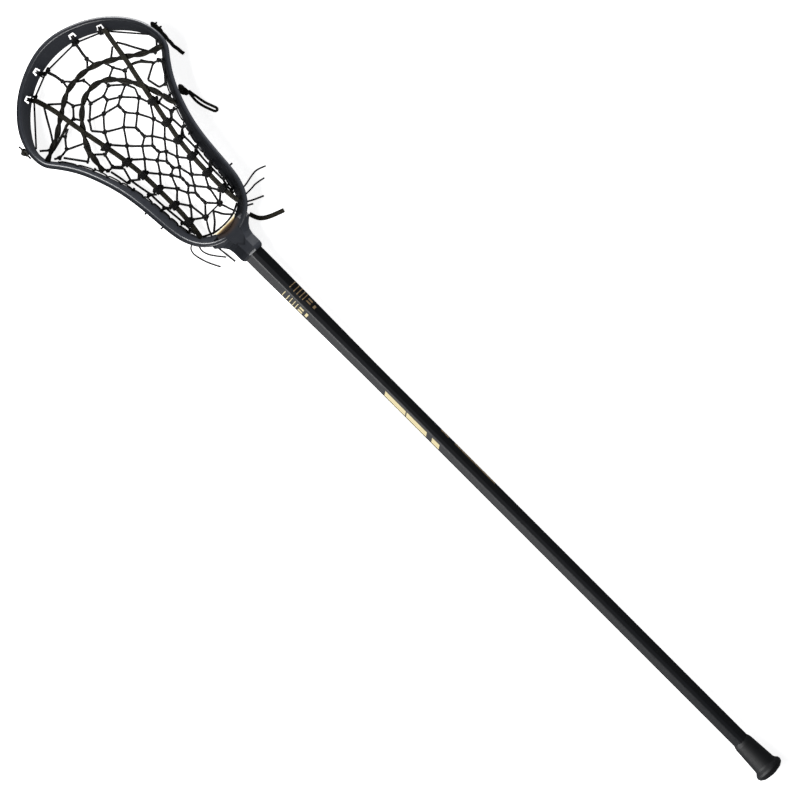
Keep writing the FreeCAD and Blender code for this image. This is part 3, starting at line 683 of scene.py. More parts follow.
class Route:
    """A smooth line through space, and what can be run along it."""

    def __init__(self, points: Sequence[Vector], closed: bool = False, steps: int = 4) -> None:
        """Hold the line's control points.

        Args:
            points: the control points, in metres.
            closed: whether the line ends where it starts.
            steps: how finely it is divided between control points.
        """
        self.points = list(points)
        self.closed = closed
        self.steps = steps

    def _curve(self, straight: bool = False) -> bpy.types.Object:
        """Make the line as a curve object.

        Args:
            straight: whether the runs between the points stay straight.

        Returns:
            The curve object.
        """
        data = bpy.data.curves.new("route", "CURVE")
        data.dimensions = "3D"
        data.resolution_u = self.steps
        data.twist_mode = "Z_UP"
        spline = data.splines.new("POLY" if straight else "NURBS")
        spline.points.add(len(self.points) - 1)
        for slot, point in zip(spline.points, self.points):
            slot.co = (*point, 1.0)
        spline.use_cyclic_u = self.closed
        if not straight:
            spline.order_u = 3
            spline.use_endpoint_u = not self.closed
        made = bpy.data.objects.new("route", data)
        bpy.context.scene.collection.objects.link(made)
        return made

    @staticmethod
    def _drop(made: bpy.types.Object) -> None:
        """Remove a curve object that has been used.

        Args:
            made: the curve object.
        """
        data = made.data
        bpy.data.objects.remove(made)
        bpy.data.curves.remove(data)

    def line(self) -> list[Vector]:
        """Read the smooth line's own points.

        Returns:
            The points, in metres.
        """
        made = self._curve()
        mesh = bpy.data.meshes.new_from_object(made)
        found = [vertex.co.copy() for vertex in mesh.vertices]
        bpy.data.meshes.remove(mesh)
        self._drop(made)
        return found

    def length(self) -> float:
        """Give the smooth line's length in metres."""
        line = self.line()
        return sum((after - before).length for before, after in zip(line, line[1:]))

    def tube(self, radius: float, sides: int = 6, straight: bool = False) -> bpy.types.Mesh:
        """Run a round string along the line.

        Args:
            radius: the string's radius in millimetres.
            sides: how many sides its section has, an even number from 4.
            straight: whether the runs between the points stay straight.

        Returns:
            The mesh, whose UV map has the way round as U and millimetres along as V.
        """
        made = self._curve(straight)
        made.data.bevel_depth = radius * MM
        made.data.bevel_resolution = (sides - 4) // 2
        made.data.use_fill_caps = not self.closed
        return self._measured(made)

    def strip(self, profile: Sequence[Spot]) -> bpy.types.Mesh:
        """Run a flat strap along the line, with its face kept upward.

        Args:
            profile: the outline of the strap's section, in millimetres across and up.

        Returns:
            The mesh, with the same UV map as a string's.
        """
        outline = bpy.data.curves.new("profile", "CURVE")
        outline.dimensions = "2D"
        spline = outline.splines.new("POLY")
        spline.points.add(len(profile) - 1)
        for slot, (across, up) in zip(spline.points, profile):
            slot.co = (across * MM, up * MM, 0.0, 1.0)
        spline.use_cyclic_u = True
        shape = bpy.data.objects.new("profile", outline)
        bpy.context.scene.collection.objects.link(shape)
        made = self._curve()
        made.data.bevel_mode = "OBJECT"
        made.data.bevel_object = shape
        made.data.use_fill_caps = True
        mesh = self._measured(made)
        self._drop(shape)
        return mesh

    def _measured(self, made: bpy.types.Object) -> bpy.types.Mesh:
        """Turn a bevelled curve into a mesh whose UV map is in real lengths.

        Args:
            made: the curve object, which is removed.

        Returns:
            The mesh.
        """
        bpy.context.view_layer.update()
        solid = made.evaluated_get(bpy.context.evaluated_depsgraph_get())
        mesh = bpy.data.meshes.new_from_object(solid, preserve_all_data_layers=True)
        self._drop(made)
        real = self.length() / MM
        for corner in mesh.uv_layers[0].data:
            corner.uv = (corner.uv[0], corner.uv[1] * real)
        return mesh

    def strands(self, radius: float, reach: float, count: int, pitch: float, flatness: float = 1.0,
                sides: int = 8) -> list[bpy.types.Mesh]:
        """Lay strands round the line as a rope.

        Args:
            radius: one strand's radius in millimetres.
            reach: how far each strand's middle is from the line.
            count: how many strands there are.
            pitch: the length of one full turn in millimetres.
            flatness: the rope's height as a share of its width.
            sides: how many sides a strand's section has.

        Returns:
            One mesh for each strand.
        """
        line = self.line()
        made = []
        for strand in range(count):
            walked, points = 0.0, []
            for index, here in enumerate(line):
                before, after = line[max(0, index - 1)], line[min(len(line) - 1, index + 1)]
                walked += (here - line[index - 1]).length / MM if index else 0.0
                across = (after - before).cross(Vector((0, 0, 1))).normalized()
                up = across.cross(after - before).normalized()
                turn = math.tau * (walked / pitch + strand / count)
                swing = across * math.cos(turn) + up * math.sin(turn) * flatness
                points.append(here + reach * MM * swing)
            made.append(Route(points, steps=2).tube(radius, sides, straight=True))
        return made


def gather(name: str, meshes: Sequence[bpy.types.Mesh],
           material: bpy.types.Material) -> bpy.types.Object:
    """Join meshes into one finished piece.

    Args:
        name: the piece's name.
        meshes: its parts, already in place.
        material: its finish.

    Returns:
        The piece, at the origin, smooth and with its normals outward.
    """
    bpy.ops.object.select_all(action="DESELECT")
    parts = []
    for mesh in meshes:
        part = bpy.data.objects.new(name, mesh)
        bpy.context.scene.collection.objects.link(part)
        part.select_set(True)
        parts.append(part)
    bpy.context.view_layer.objects.active = parts[0]
    if len(parts) > 1:
        bpy.ops.object.join()
    piece = bpy.context.view_layer.objects.active
    piece.name = piece.data.name = name
    piece.data.materials.clear()
    piece.data.materials.append(material)
    bpy.ops.object.mode_set(mode="EDIT")
    bpy.ops.mesh.select_all(action="SELECT")
    bpy.ops.mesh.remove_doubles(threshold=1e-7)
    bpy.ops.mesh.normals_make_consistent(inside=False)
    bpy.ops.object.mode_set(mode="OBJECT")
    bpy.ops.object.shade_smooth_by_angle(angle=math.radians(50))
    piece.select_set(False)
    log.info("%s: %d faces", name, len(piece.data.polygons))
    return piece


def settle(piece: bpy.types.Object, slot: Slot, *nodes: str) -> None:
    """Put a finished piece on the stick.

    Args:
        piece: the finished piece.
        slot: the slot that it takes its finish from; not used.
        nodes: the nodes that it stands for.
    """
    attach(piece, RIDES_ON)
    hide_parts(*nodes)


@dataclass
class Knot:
    """One tied knot, modelled once and copied."""

    string: float = 1.0         # mm, the string's radius
    size: float = 1.3           # mm, from the knot's middle to the middle of its loops
    flatness: float = 0.75

    def at(self, place: Vector, turn: float, scale: float = 1.0) -> bpy.types.Mesh:
        """Make a copy of the knot.

        Args:
            place: the knot's middle, in metres.
            turn: how far it is turned about the vertical, in radians.
            scale: its size against the first one.

        Returns:
            The copy's mesh.
        """
        copy = self._first().copy()
        turned = Matrix.Translation(place) @ Matrix.Rotation(turn, 4, "Z")
        copy.transform(turned @ Matrix.Scale(scale, 4))
        return copy

    def _first(self) -> bpy.types.Mesh:
        """Tie the knot once, at the origin.

        Returns:
            The first knot's mesh, which the copies are made from.
        """
        name = f"knot_{self.string:g}_{self.size:g}"
        if name not in bpy.data.meshes:
            count = 12
            points = []
            for index in range(count):
                turn = math.tau * index / count
                points.append(Vector((
                    (math.sin(turn) + 2 * math.sin(2 * turn)) * 0.5,
                    (math.cos(turn) - 2 * math.cos(2 * turn)) * 0.5,
                    -math.sin(3 * turn) * self.flatness)) * self.size * MM)
            mesh = Route(points, closed=True, steps=2).tube(self.string, 6)
            mesh.name = name
            mesh.use_fake_user = True
        return bpy.data.meshes[name]


# ---------------------------------------------------------------- the pocket


@dataclass(frozen=True)
class NetRow:
    """One row of the middle net: its two pairs of knots, and the link between its halves."""

    inner: Side
    inner_at: float
    outer: Side
    outer_at: float
    link: float
    link_top: float
    link_foot: float
    tie_at: float


@dataclass
class Pocket:
    """The strung pocket: nets, straps and laces."""

    palette: Palette
    shape: PocketShape = PocketShape()
    string: float = 1.22            # the radius of the net's string
    strap_width: float = 5.5
    strap_thick: float = 1.8
    strap_lift: float = 5.0         # from the net's underside to the strap's
    lace_lift: float = 2.3
    left_strap: tuple[Spot, ...] = (
        (-50, 1060), (-43.5, 1041), (-40, 1020), (-37, 1000), (-33, 980), (-29, 960), (-26, 940),
        (-24, 920), (-23.5, 895), (-23.5, 865), (-25, 849), (-26.5, 838), (-28, 830))
    right_strap: tuple[Spot, ...] = (
        (56, 1059.5), (52.5, 1040), (49.5, 1020), (45, 1000), (41, 980), (37, 960), (33, 940),
        (29, 920), (27, 900), (26, 870), (26, 850), (26.8, 839), (28, 831))
    upper_lace: tuple[Spot, ...] = (
        (-86, 1003), (-78, 1006.5), (-70, 1010.5), (-60, 1014.5), (-50, 1022), (-42, 1027),
        (-32, 1033.5), (-20, 1040.5), (-8, 1043), (6, 1043.5), (20, 1040.5), (30, 1036.5),
        (40, 1030), (50, 1024.5), (60, 1017), (70, 1010.5), (79, 1006), (87, 1004))
    lower_lace: tuple[Spot, ...] = (
        (-51.5, 953.5), (-50, 962), (-48, 975), (-44, 987), (-38, 997), (-30, 1008), (-18, 1019),
        (-8, 1024.5), (4, 1026), (14, 1024), (24, 1017.5), (32, 1007), (40, 995), (46, 981),
        (50, 968), (52, 959), (54.5, 950))
    rows: tuple[NetRow, ...] = (
        NetRow((-10, 17), 1015, (-23.8, 30.6), 1003, 5.3, 1010.6, 1005, 0),
        NetRow((-8, 17.5), 997.5, (-21, 31), 983, 9.3, 993, 982.5, 970),
        NetRow((-3, 17.5), 972.5, (-14.5, 26), 956, 5.8, 963, 950, 943),
        NetRow((-3, 12), 944.5, (-11, 19.4), 933, 5.0, 937, 927, 921.5),
        NetRow((-2.5, 10.6), 922.3, (-10.6, 15), 910, 3.7, 914.5, 905, 899),
        NetRow((-3, 8.8), 900.6, (-8.8, 12.5), 885.8, 2.4, 892, 880, 875),
        NetRow((-3.8, 6.3), 875, (-11.6, 16), 863, 1.7, 869, 854.4, 851.5))
    corners: tuple[Spot, Spot] = ((-30, 993.8), (35, 993))
    last_knots: Side = (-9, 12)
    last_at: float = 843
    squash_keep: float = 0.2
    string_lift: float = 0.7        # from the net's underside to a string's middle
    string_bow: float = 0.45        # how far a string strays from straight
    knot_variety: float = 0.12      # how much the knots differ in size
    knot_turn: float = 2.4          # radians from one knot to the next
    beside_strap: float = 1.0       # from a strap's edge to the string that goes round it
    link_knot_scale: float = 0.8
    last_knot_scale: float = 1.5
    last_string: float = 0.9        # the radius of the string between the last knots
    throat_string: float = 1.1      # the radius of the outer strings down to the throat
    thick_string: float = 1.6       # the radius of the two strings at the scoop
    winding_reach: float = 1.75     # from the strap's middle to the winding's, up and down
    tie_knot_lift: float = 4.6
    lace_cord: float = 1.95         # the radius of one of a lace's two cords
    lace_reach: float = 1.4
    lace_turn: float = 34.0
    lace_flatness: float = 0.35
    lace_rise: float = 0.9          # from the thin lace's height to the whole lace's
    thin_lace: float = 1.6

    def build(self) -> None:
        """Make every piece of the pocket."""
        self._centre_net()
        self._side_nets()
        self._straps()
        self._laces()

    def _settle(self, piece: bpy.types.Object, slot: Slot, *nodes: str) -> None:
        """Put a finished piece of the pocket on the stick, with a mesh of its own.

        Args:
            piece: the finished piece.
            slot: the slot that it takes its finish from.
            nodes: the nodes that it stands for.
        """
        low, high = self.shape.low_end, self.shape.high_end
        anchor = metres((0.0, low, self.shape.low_edge))
        settle(piece, slot, *nodes)
        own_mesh(piece)

    def _run(self, *spots: Sequence[float], radius: float | None = None) -> bpy.types.Mesh:
        """Lay one string over the net's hollow.

        Args:
            spots: places across and along, each with a lift if it isn't on the net.
            radius: the string's radius in millimetres, or None for the net's own.

        Returns:
            The string's mesh.
        """
        points: list[Vector] = []
        for start, end in zip(spots, spots[1:]):
            points.append(self.shape.on(*start))
            lifted = ((*spot, self.string_lift)[:3] for spot in (start, end))
            middle = [(a + b) / 2 for a, b in zip(*lifted)]
            bow = self.string_bow * math.sin(7.3 * start[0] + 3.1 * start[1])
            points.append(self.shape.on(middle[0] + bow, middle[1], middle[2]))
        points.append(self.shape.on(*spots[-1]))
        return Route(points, steps=3).tube(radius or self.string)

    def _knots(self, spots: Sequence[Sequence[float]], scale: float = 1.0) -> list[bpy.types.Mesh]:
        """Tie a knot at each place.

        Args:
            spots: places across and along, each with a lift if it isn't on the net.
            scale: the knots' size.

        Returns:
            The knots' meshes.
        """
        made = []
        for index, spot in enumerate(spots):
            varied = scale * (1.0 + self.knot_variety * math.sin(index * 1.7))
            turn = self.knot_turn * index + spot[0]
            made.append(Knot().at(self.shape.on(*spot), turn, varied))
        return made

    def _tie(self, across: float, along: float, half_width: float, turns: int = 4,
             pitch: float = 1.7) -> list[bpy.types.Mesh]:
        """Wrap a string round a strap, with a knot at each side.

        Args:
            across: the strap's middle across the stick.
            along: the tie's middle along it.
            half_width: half the width that the string goes round.
            turns: how many turns it makes.
            pitch: the distance between turns.

        Returns:
            The tie's meshes.
        """
        centre = self.shape.sheet(across, along) + self.strap_lift + self.strap_thick / 2
        points = []
        per_turn = 8
        for index in range(turns * per_turn + 1):
            turn = math.tau * index / per_turn
            at = along - turns * pitch / 2 + pitch * index / per_turn
            up = centre + self.winding_reach * math.sin(turn)
            points.append(metres((across - half_width * math.cos(turn), at, up)))
        ends = [(across - half_width - 0.8, along + 1.2, self.tie_knot_lift),
                (across + half_width + 0.8, along - 1.0, self.tie_knot_lift)]
        return [Route(points, steps=2).tube(self.string), *self._knots(ends, 0.9)]

    def _strap_at(self, strap: Sequence[Spot], along: float) -> float:
        """Give a strap's place across the stick at a place along it.

        Args:
            strap: the places that the strap runs through, from the scoop down.
            along: the place along the stick.

        Returns:
            The place across the stick.
        """
        for (near, high), (far, low) in zip(strap, strap[1:]):
            if low <= along <= high:
                return far + (near - far) * (along - low) / (high - low)
        return strap[-1][0]

    def _centre_net(self) -> None:
        """Make the middle net between the straps, with its ties."""
        parts: list[bpy.types.Mesh] = []
        for side in (0, 1):
            outward = -1 if side == 0 else 1
            strap = (self.left_strap, self.right_strap)[side]
            inner = [(row.inner[side], row.inner_at) for row in self.rows]
            inner.append((self.last_knots[side], self.last_at))
            outer = [(row.outer[side], row.outer_at) for row in self.rows]
            parts += self._knots(inner[:-1] + outer)
            parts += self._knots(inner[-1:], self.last_knot_scale)
            previous: tuple[float, ...] | None = None
            for index, row in enumerate(self.rows):
                parts.append(self._run(inner[index], (row.link, row.link_top)))
                parts.append(self._run((row.link, row.link_foot), inner[index + 1]))
                parts.append(self._run(inner[index], outer[index], inner[index + 1]))
                if previous is not None:
                    parts.append(self._run(previous, outer[index]))
                previous = outer[index]
                if index == 0:
                    parts.append(self._run(previous, self.corners[side]))
                    previous = self.corners[side]
                if row.tie_at:
                    across = self._strap_at(strap, row.tie_at)
                    half = self.strap_width / 2 + self.beside_strap
                    parts += self._tie(across, row.tie_at, half)
                    previous = (across - outward * half, row.tie_at, 4.0)
                    parts.append(self._run(outer[index], previous))
            parts.append(self._run(previous, inner[-1]))
            lean = 1.5 if side == 0 else 0.0
            parts.append(self._run(inner[0], (inner[0][0] + lean, 1023.0, 2.6)))
        for row in self.rows:
            low, high, link = row.link_foot, row.link_top, row.link
            quarter = (high - low) / 4
            for sense in (-0.8, 0.8):
                parts.append(self._run((link, high + 0.6), (link + sense, high - quarter),
                                       (link - sense, low + quarter), (link, low - 0.6)))
            parts += self._knots([(link, high), (link, low)], self.link_knot_scale)
        left, right = ((across, self.last_at) for across in self.last_knots)
        parts.append(self._run(left, right, radius=self.last_string))
        for outward in (-1, 1):
            parts.append(self._run((1.5, 842), (0.6 + outward * 5, 834), (outward * 9, 829.6),
                                   (outward * 15.5, 823.6)))
            parts.append(self._run((1.5 + outward * 10.5, 842), (outward * 15.5, 832),
                                   (outward * 18.5, 824.6), radius=self.throat_string))
        parts += self._upper_net()
        piece = gather("centre_strings", parts, self.palette.string)
        self._settle(piece, Slot.STRING, "centre_net")

    def _upper_net(self) -> list[bpy.types.Mesh]:
        """Make the strings between the laces and up to the scoop.

        Returns:
            The strings' and knots' meshes.
        """
        thick: tuple[tuple[Sequence[float], ...], ...] = (
            ((-19, 1070.5), (-15.5, 1060), (-14.4, 1052)),
            ((23.5, 1070.2), (21.5, 1059), (20.6, 1050.6)))
        runs: tuple[tuple[Sequence[float], ...], ...] = (
            ((-14.4, 1052), (-16, 1042.5, 3.2)), ((-14.4, 1052), (-6.3, 1043, 3.2)),
            ((20.6, 1050.6), (13.8, 1043, 3.2)), ((20.6, 1050.6), (22.5, 1040.6, 3.2)),
            ((40.6, 1013.8), (48, 1013.5, 3.8)), ((-54, 1008.8), (-46, 1012.5, 3.6)),
            ((-6, 1042.5, 2.6), (2, 1037.5), (3, 1028)), ((-27, 1035), (-25, 1026), (-17.5, 1021)),
            ((-25, 1026), (-34.4, 1016), (-30, 1009.5)), ((31, 1034), (33.8, 1025), (22.5, 1020)),
            ((33.8, 1025), (40.6, 1013.8), (34.5, 1006)),
            ((-46.8, 1047.8), (-58, 1029), (-67.5, 1013.8)), ((-43, 1046), (-31, 1035, 2.6)),
            ((55.6, 1041), (64, 1026), (72.5, 1011)), ((49.4, 1041), (39.4, 1033, 2.6)))
        ties = [
            (-14.4, 1052), (20.6, 1050.6), (-25, 1026), (33.8, 1025), (-34.4, 1016), (40.6, 1013.8),
            (2, 1037.5)]
        made = [self._run(*run) for run in runs]
        made += [self._run(*run, radius=self.thick_string) for run in thick]
        return made + self._knots(ties)

    def _side_nets(self) -> None:
        """Make the strings between the straps and the walls."""
        left: tuple[tuple[Sequence[float], ...], ...] = (
            ((-84, 1017), (-76, 1010)),
            ((-79, 1000), (-74, 997), (-69, 997), (-62.5, 998), (-54, 994), (-44, 989.5)),
            ((-62, 998.8), (-54, 1008.8)), ((-71, 994), (-56, 973.5)),
            ((-56, 973), (-51, 976), (-47, 987.5)), ((-46, 974), (-37.5, 966), (-33, 966, 3.5)),
            ((-37.5, 966), (-41, 951)), ((-41, 951), (-33.8, 943.8), (-29, 942, 3.8)),
            ((-51, 961), (-47.5, 951), (-41, 950)), ((-41, 949), (-33.8, 941)),
            ((-33.8, 941), (-37.5, 927)), ((-46, 948), (-41.9, 926)),
            ((-41.9, 926), (-37.5, 927), (-29.4, 920, 3.8)), ((-37.5, 927), (-33, 902)),
            ((-37.5, 902), (-33, 902), (-28.8, 896.5, 3.8)), ((-33, 902), (-32, 881)),
            ((-35.2, 881), (-32, 881), (-28, 875, 3.8)), ((-32, 881), (-29.6, 856)),
            ((-33, 856), (-29.6, 856), (-28, 851, 3.8)), ((-29.6, 856), (-29.4, 838)))
        left_knots = [
            (-76, 1010), (-74, 997), (-62.2, 998.4), (-56, 973.2), (-37.5, 966), (-41, 950.4),
            (-47.5, 951), (-40, 926.8), (-35, 902), (-33.6, 881), (-31.4, 856), (-54, 1008.8)]
        right: tuple[tuple[Sequence[float], ...], ...] = (
            ((88, 1013.8), (82, 1007), (77, 1004.4)), ((60, 1010, 2.4), (67.5, 998), (74, 996)),
            ((74, 996), (75, 988.8)), ((67.5, 998), (51, 989.4)),
            ((51, 989.4), (53.8, 975.6), (59.4, 973.8)), ((74.5, 988.8), (61, 973)),
            ((51, 966), (41.9, 965), (38, 967, 3.8)), ((41.9, 965), (45, 950), (40, 943.8)),
            ((52, 967.5), (54.5, 961)), ((50, 948), (45.6, 948), (40, 942.5), (37.5, 942, 3.8)),
            ((40, 942.5), (40.6, 927.5)), ((44.4, 927.5), (40.6, 927.5), (33.5, 922, 3.8)),
            ((40.6, 927.5), (35.6, 920), (35.6, 902.5)),
            ((38, 903), (35.6, 902.5), (31.5, 899, 3.8)), ((35.6, 902.5), (33.8, 893), (33, 880)),
            ((35.6, 878), (33, 880), (30.5, 875, 3.8)), ((33, 880), (32.5, 870), (32.5, 858)),
            ((34.5, 858), (32.5, 858), (30.5, 852, 3.8)), ((32.5, 858), (30.6, 850), (30.6, 840)))
        right_knots = [
            (77, 1004.4), (74, 996), (67.5, 998), (60, 973.4), (41.9, 965), (46, 948), (49, 948),
            (43, 927.5), (36.8, 902.8), (34.6, 879), (33.6, 858)]
        nets = (("left_side_strings", "left_side_net", left, left_knots),
                ("right_side_strings", "right_side_net", right, right_knots))
        for name, node, runs, knots in nets:
            parts = [self._run(*run) for run in runs] + self._knots(knots)
            self._settle(gather(name, parts, self.palette.string), Slot.STRING, node)

    def _strap_profile(self) -> list[Spot]:
        """Give the strap's section, crowned at both edges.

        Returns:
            The section's outline, across and up.
        """
        half, thick = self.strap_width / 2, self.strap_thick / 2
        top = [(-half, 0.0), (-half * 0.95, thick * 0.6), (-half * 0.78, thick),
               (-half * 0.25, thick * 0.82), (half * 0.25, thick * 0.82), (half * 0.78, thick),
               (half * 0.95, thick * 0.6), (half, 0.0)]
        return top + [(across, -up) for across, up in reversed(top[1:-1])]

    def _straps(self) -> None:
        """Make the two long woven straps."""
        lift = self.strap_lift + self.strap_thick / 2
        straps = (("left_strap", "left_thong", self.left_strap),
                  ("right_strap", "right_thong", self.right_strap))
        for name, node, spots in straps:
            route = Route([self.shape.on(*spot, lift) for spot in spots], steps=8)
            woven = route.strip(self._strap_profile())
            self._settle(gather(name, [woven], self.palette.strap), Slot.STRAP, node)

    def _laces(self) -> None:
        """Make the two laces that cross the pocket, each of two cords laid together."""
        extra: dict[str, tuple[tuple[Spot, ...], ...]] = {
            "upper_lace": (((-73, 1007), (-63, 1009.5), (-50, 1013.5), (-43, 1017), (-36, 1016)),
                           ((49, 1013.8), (57.5, 1010.6), (63, 1004), (67.5, 999))),
            "lower_lace": ()}
        lift = self.lace_lift + self.lace_rise
        for node, spots in (("upper_lace", self.upper_lace), ("lower_lace", self.lower_lace)):
            route = Route([self.shape.on(*spot, lift) for spot in spots], steps=10)
            parts = route.strands(self.lace_cord, self.lace_reach, 2, self.lace_turn,
                                  self.lace_flatness)
            for run in extra[node]:
                thin = Route([self.shape.on(*spot, self.lace_lift) for spot in run], steps=6)
                parts.append(thin.tube(self.thin_lace, 8))
            self._settle(gather(node + "_cords", parts, self.palette.lace), Slot.LACE, node)


# ---------------------------------------------------------------- strings and knots on the head


@dataclass(frozen=True)
class OuterKnot:
    """One lump of lace outside the walls, and the tails that stick out of it."""

    name: str
    node: str
    place: Bend
    scale: float
    stretch: float              # how much longer it is along the stick
    tails: tuple[tuple[Bend, Bend], ...]


@dataclass
class HeadLacing:
    """The strings that hold the net to the head, and the knots outside the walls."""

    palette: Palette
    shape: PocketShape = PocketShape()
    string: float = 1.0
    throat_radius: float = 1.2
    lace: float = 1.45              # the radius of the lace in the outer knots
    lace_knot: float = 1.9          # the size of those knots
    tail: float = 1.0
    knot_rise: float = 0.4          # from the string at the scoop to the middle of its knots
    knot_scale: float = 1.1
    loop_gap: float = 2.2           # between the two turns round the rail
    rail_middle: float = 2.6        # from a window to the middle of the rail
    hitch_every: int = 3            # holes from one hitch to the next
    hitch_scale: float = 0.7
    wall_radius: float = 0.8
    wall_gap: float = 0.9
    hole_reach: float = 2.4
    holes: tuple[float, ...] = (845, 857, 869, 881, 893, 905, 918, 932, 947, 962, 978, 994)
    scoop: tuple[tuple[Spot, Spot], ...] = (
        ((-85, 1021), (-51.5, 1057.5)), ((-46.5, 1060.8), (-22.5, 1070.2)),
        ((-17, 1071.4), (21, 1071.2)), ((26.5, 1070.2), (50.5, 1060)), ((57, 1056), (88, 1020)))
    windows: tuple[Spot, ...] = ((-53.5, 1063.6), (-26.5, 1077.2), (26.5, 1077.2), (53.5, 1063.6))
    loop_reach: float = 4.6
    loop_rise: float = 4.9
    scoop_knots: tuple[Spot, ...] = (
        (-21.5, 1071), (-16.5, 1071.6), (21.5, 1071.2), (26.5, 1070.4), (-50.5, 1058.8),
        (-46.5, 1060.6), (50.5, 1060.2), (56, 1057.6))
    throat: tuple[Spot, ...] = (
        (-25.5, 830.5), (-19, 826.6), (-8, 823.4), (8, 823.4), (19, 826.6), (25.5, 830.5))
    short_ends: tuple[tuple[Bend, ...], ...] = (
        ((32, 825, 7.5), (38, 821.5, 4.5), (44.5, 818.7, 2), (51, 816, 1)),
        ((31, 821, 4), (34, 819.6, 2.6), (37, 818, 1.2)),
        ((-22.5, 811, 5), (-21.6, 803, 1.6), (-20.8, 796, 0.95), (-20, 788, 0.95)),
        ((-45.5, 892, 8.5), (-49, 891.5, 6.9), (-52.5, 891, 5)),
        ((-44, 867.5, 8.5), (-48, 867.8, 7.2), (-51.5, 868, 5)),
        ((44, 864, 8.5), (48, 864, 7), (51.5, 864, 5)))
    outer_knots: tuple[OuterKnot, ...] = (
        OuterKnot("scoop_side_knot", "left_scoop_knot", (-96.0, 1026, 24), 1.1, 1.0,
                  (((-95.6, 1028, 25), (-96, 1034, 23.5)), ((-96, 1024, 24), (-96, 1016.5, 22)))),
        OuterKnot("rim_knot", "right_rim_knot", (95.2, 1019.5, 24), 1.3, 1.9,
                  (((96, 1023, 24), (100.4, 1024.4, 23)), ((97, 1018.5, 24), (100.8, 1017.6, 23)),
                   ((96.6, 1015, 24), (96.6, 1012.4, 22.2)))),
        OuterKnot("lace_end_knot", "lower_lace_knot", (69.5, 955.4, 14), 1.25, 1.5,
                  (((72, 954, 14), (72.8, 949.6, 12)),)))

    def build(self) -> None:
        """Make the lacing and the knots."""
        edge, finish = self.shape.edge, self.palette.string
        scoop = [Route([metres((across, along, edge(along))) for across, along in run])
                 .tube(self.string) for run in self.scoop]
        tied = [Knot().at(metres((across, along, edge(along) + self.knot_rise)), across,
                          self.knot_scale) for across, along in self.scoop_knots]
        piece = gather("scoop_strings", [*scoop, *self._rail_loops(), *tied], finish)
        settle(piece, Slot.STRING, "scoop_string")
        throat = Route([metres((across, along, edge(along))) for across, along in self.throat],
                       steps=8)
        piece = gather("throat_cord", [throat.tube(self.throat_radius, 8)], finish)
        settle(piece, Slot.STRING, "throat_string")
        for sense, side in ((-1, "left"), (1, "right")):
            piece = gather(f"{side}_wall_lacing", self._wall(sense), finish)
            settle(piece, Slot.STRING, f"{side}_wall_string")
        ends = [Route([metres(bend) for bend in run], steps=5).tube(self.string, 8)
                for run in self.short_ends]
        settle(gather("cut_ends", ends, finish), Slot.STRING, "short_ends")
        self._outer_knots()

    def _rail_loops(self) -> list[bpy.types.Mesh]:
        """Loop the net's cord round the rail at each window.

        Returns:
            The loops' meshes.
        """
        made = []
        for across, along in self.windows:
            inward = Vector((-across, 960.0 - along, 0.0)).normalized()
            middle = Vector((across, along, self.shape.edge(along))) + inward * self.rail_middle
            for shift in (-self.loop_gap / 2, self.loop_gap / 2):
                beside = inward.cross(Vector((0, 0, 1))) * shift
                points = [metres(tuple(middle + beside + inward * self.loop_reach * math.cos(turn)
                                       + Vector((0, 0, 0.6 + self.loop_rise * math.sin(turn)))))
                          for turn in (math.tau * index / 8 for index in range(8))]
                made.append(Route(points, closed=True, steps=3).tube(self.string))
        return made

    def _wall(self, sense: int) -> list[bpy.types.Mesh]:
        """Lace a string along one wall, into each hole and out again.

        Args:
            sense: -1 for the left wall and 1 for the right.

        Returns:
            The string's mesh and those of the hitches at the holes.
        """
        points, hitches = [], []
        stitch = ((-4.0, 0.0, 0.0), (-1.2, 0.3, 0.3), (0.0, self.hole_reach, 0.0), (1.2, 0.3, -0.3))
        for index, hole in enumerate(self.holes):
            for step, reach, up in stitch:
                along = hole + step
                across = sense * (self.shape.half_width(along) - self.wall_gap + reach)
                points.append(metres((across, along, self.shape.edge(along) + up)))
            if index % self.hitch_every:
                continue
            inside = sense * (self.shape.half_width(hole) - self.wall_gap - 0.4)
            at = metres((inside, hole, self.shape.edge(hole)))
            hitches.append(Knot(size=1.0).at(at, hole, self.hitch_scale))
        return [Route(points, steps=3).tube(self.wall_radius), *hitches]

    def _outer_knots(self) -> None:
        """Tie the three lumps of lace outside the walls."""
        for lump in self.outer_knots:
            tied = Knot(string=self.lace, size=self.lace_knot)
            knot = tied.at(Vector(), 0.6, lump.scale)
            longer = Matrix.Diagonal((1.0, lump.stretch, 1.0, 1.0))
            knot.transform(Matrix.Translation(metres(lump.place)) @ longer)
            across, along, up = lump.place
            beside = metres((across, along - 2.4 * lump.stretch, up - 0.6))
            second = tied.at(beside, 2.2, 0.85 * lump.scale)
            ends = []
            for start, end in lump.tails:
                middle = tuple((a + b) / 2 + 0.3 for a, b in zip(start, end))
                tail = Route([metres(bend) for bend in (start, middle, end)], steps=4)
                ends.append(tail.tube(self.tail, 8))
            piece = gather(lump.name, [knot, second, *ends], self.palette.lace)
            settle(piece, Slot.LACE, lump.node)


class Lay(Enum):
    """How the cord of a free end is laid."""

    SINGLE = 1
    PAIR = 2
    LOOP = 3


@dataclass(frozen=True)
class LooseEnd:
    """One free cord: the route's points, and what it is."""

    node: str
    name: str
    route: tuple[Bend, ...]
    diameter: float
    slot: Slot
    stiffness: str = "limp"
    lay: Lay = Lay.SINGLE


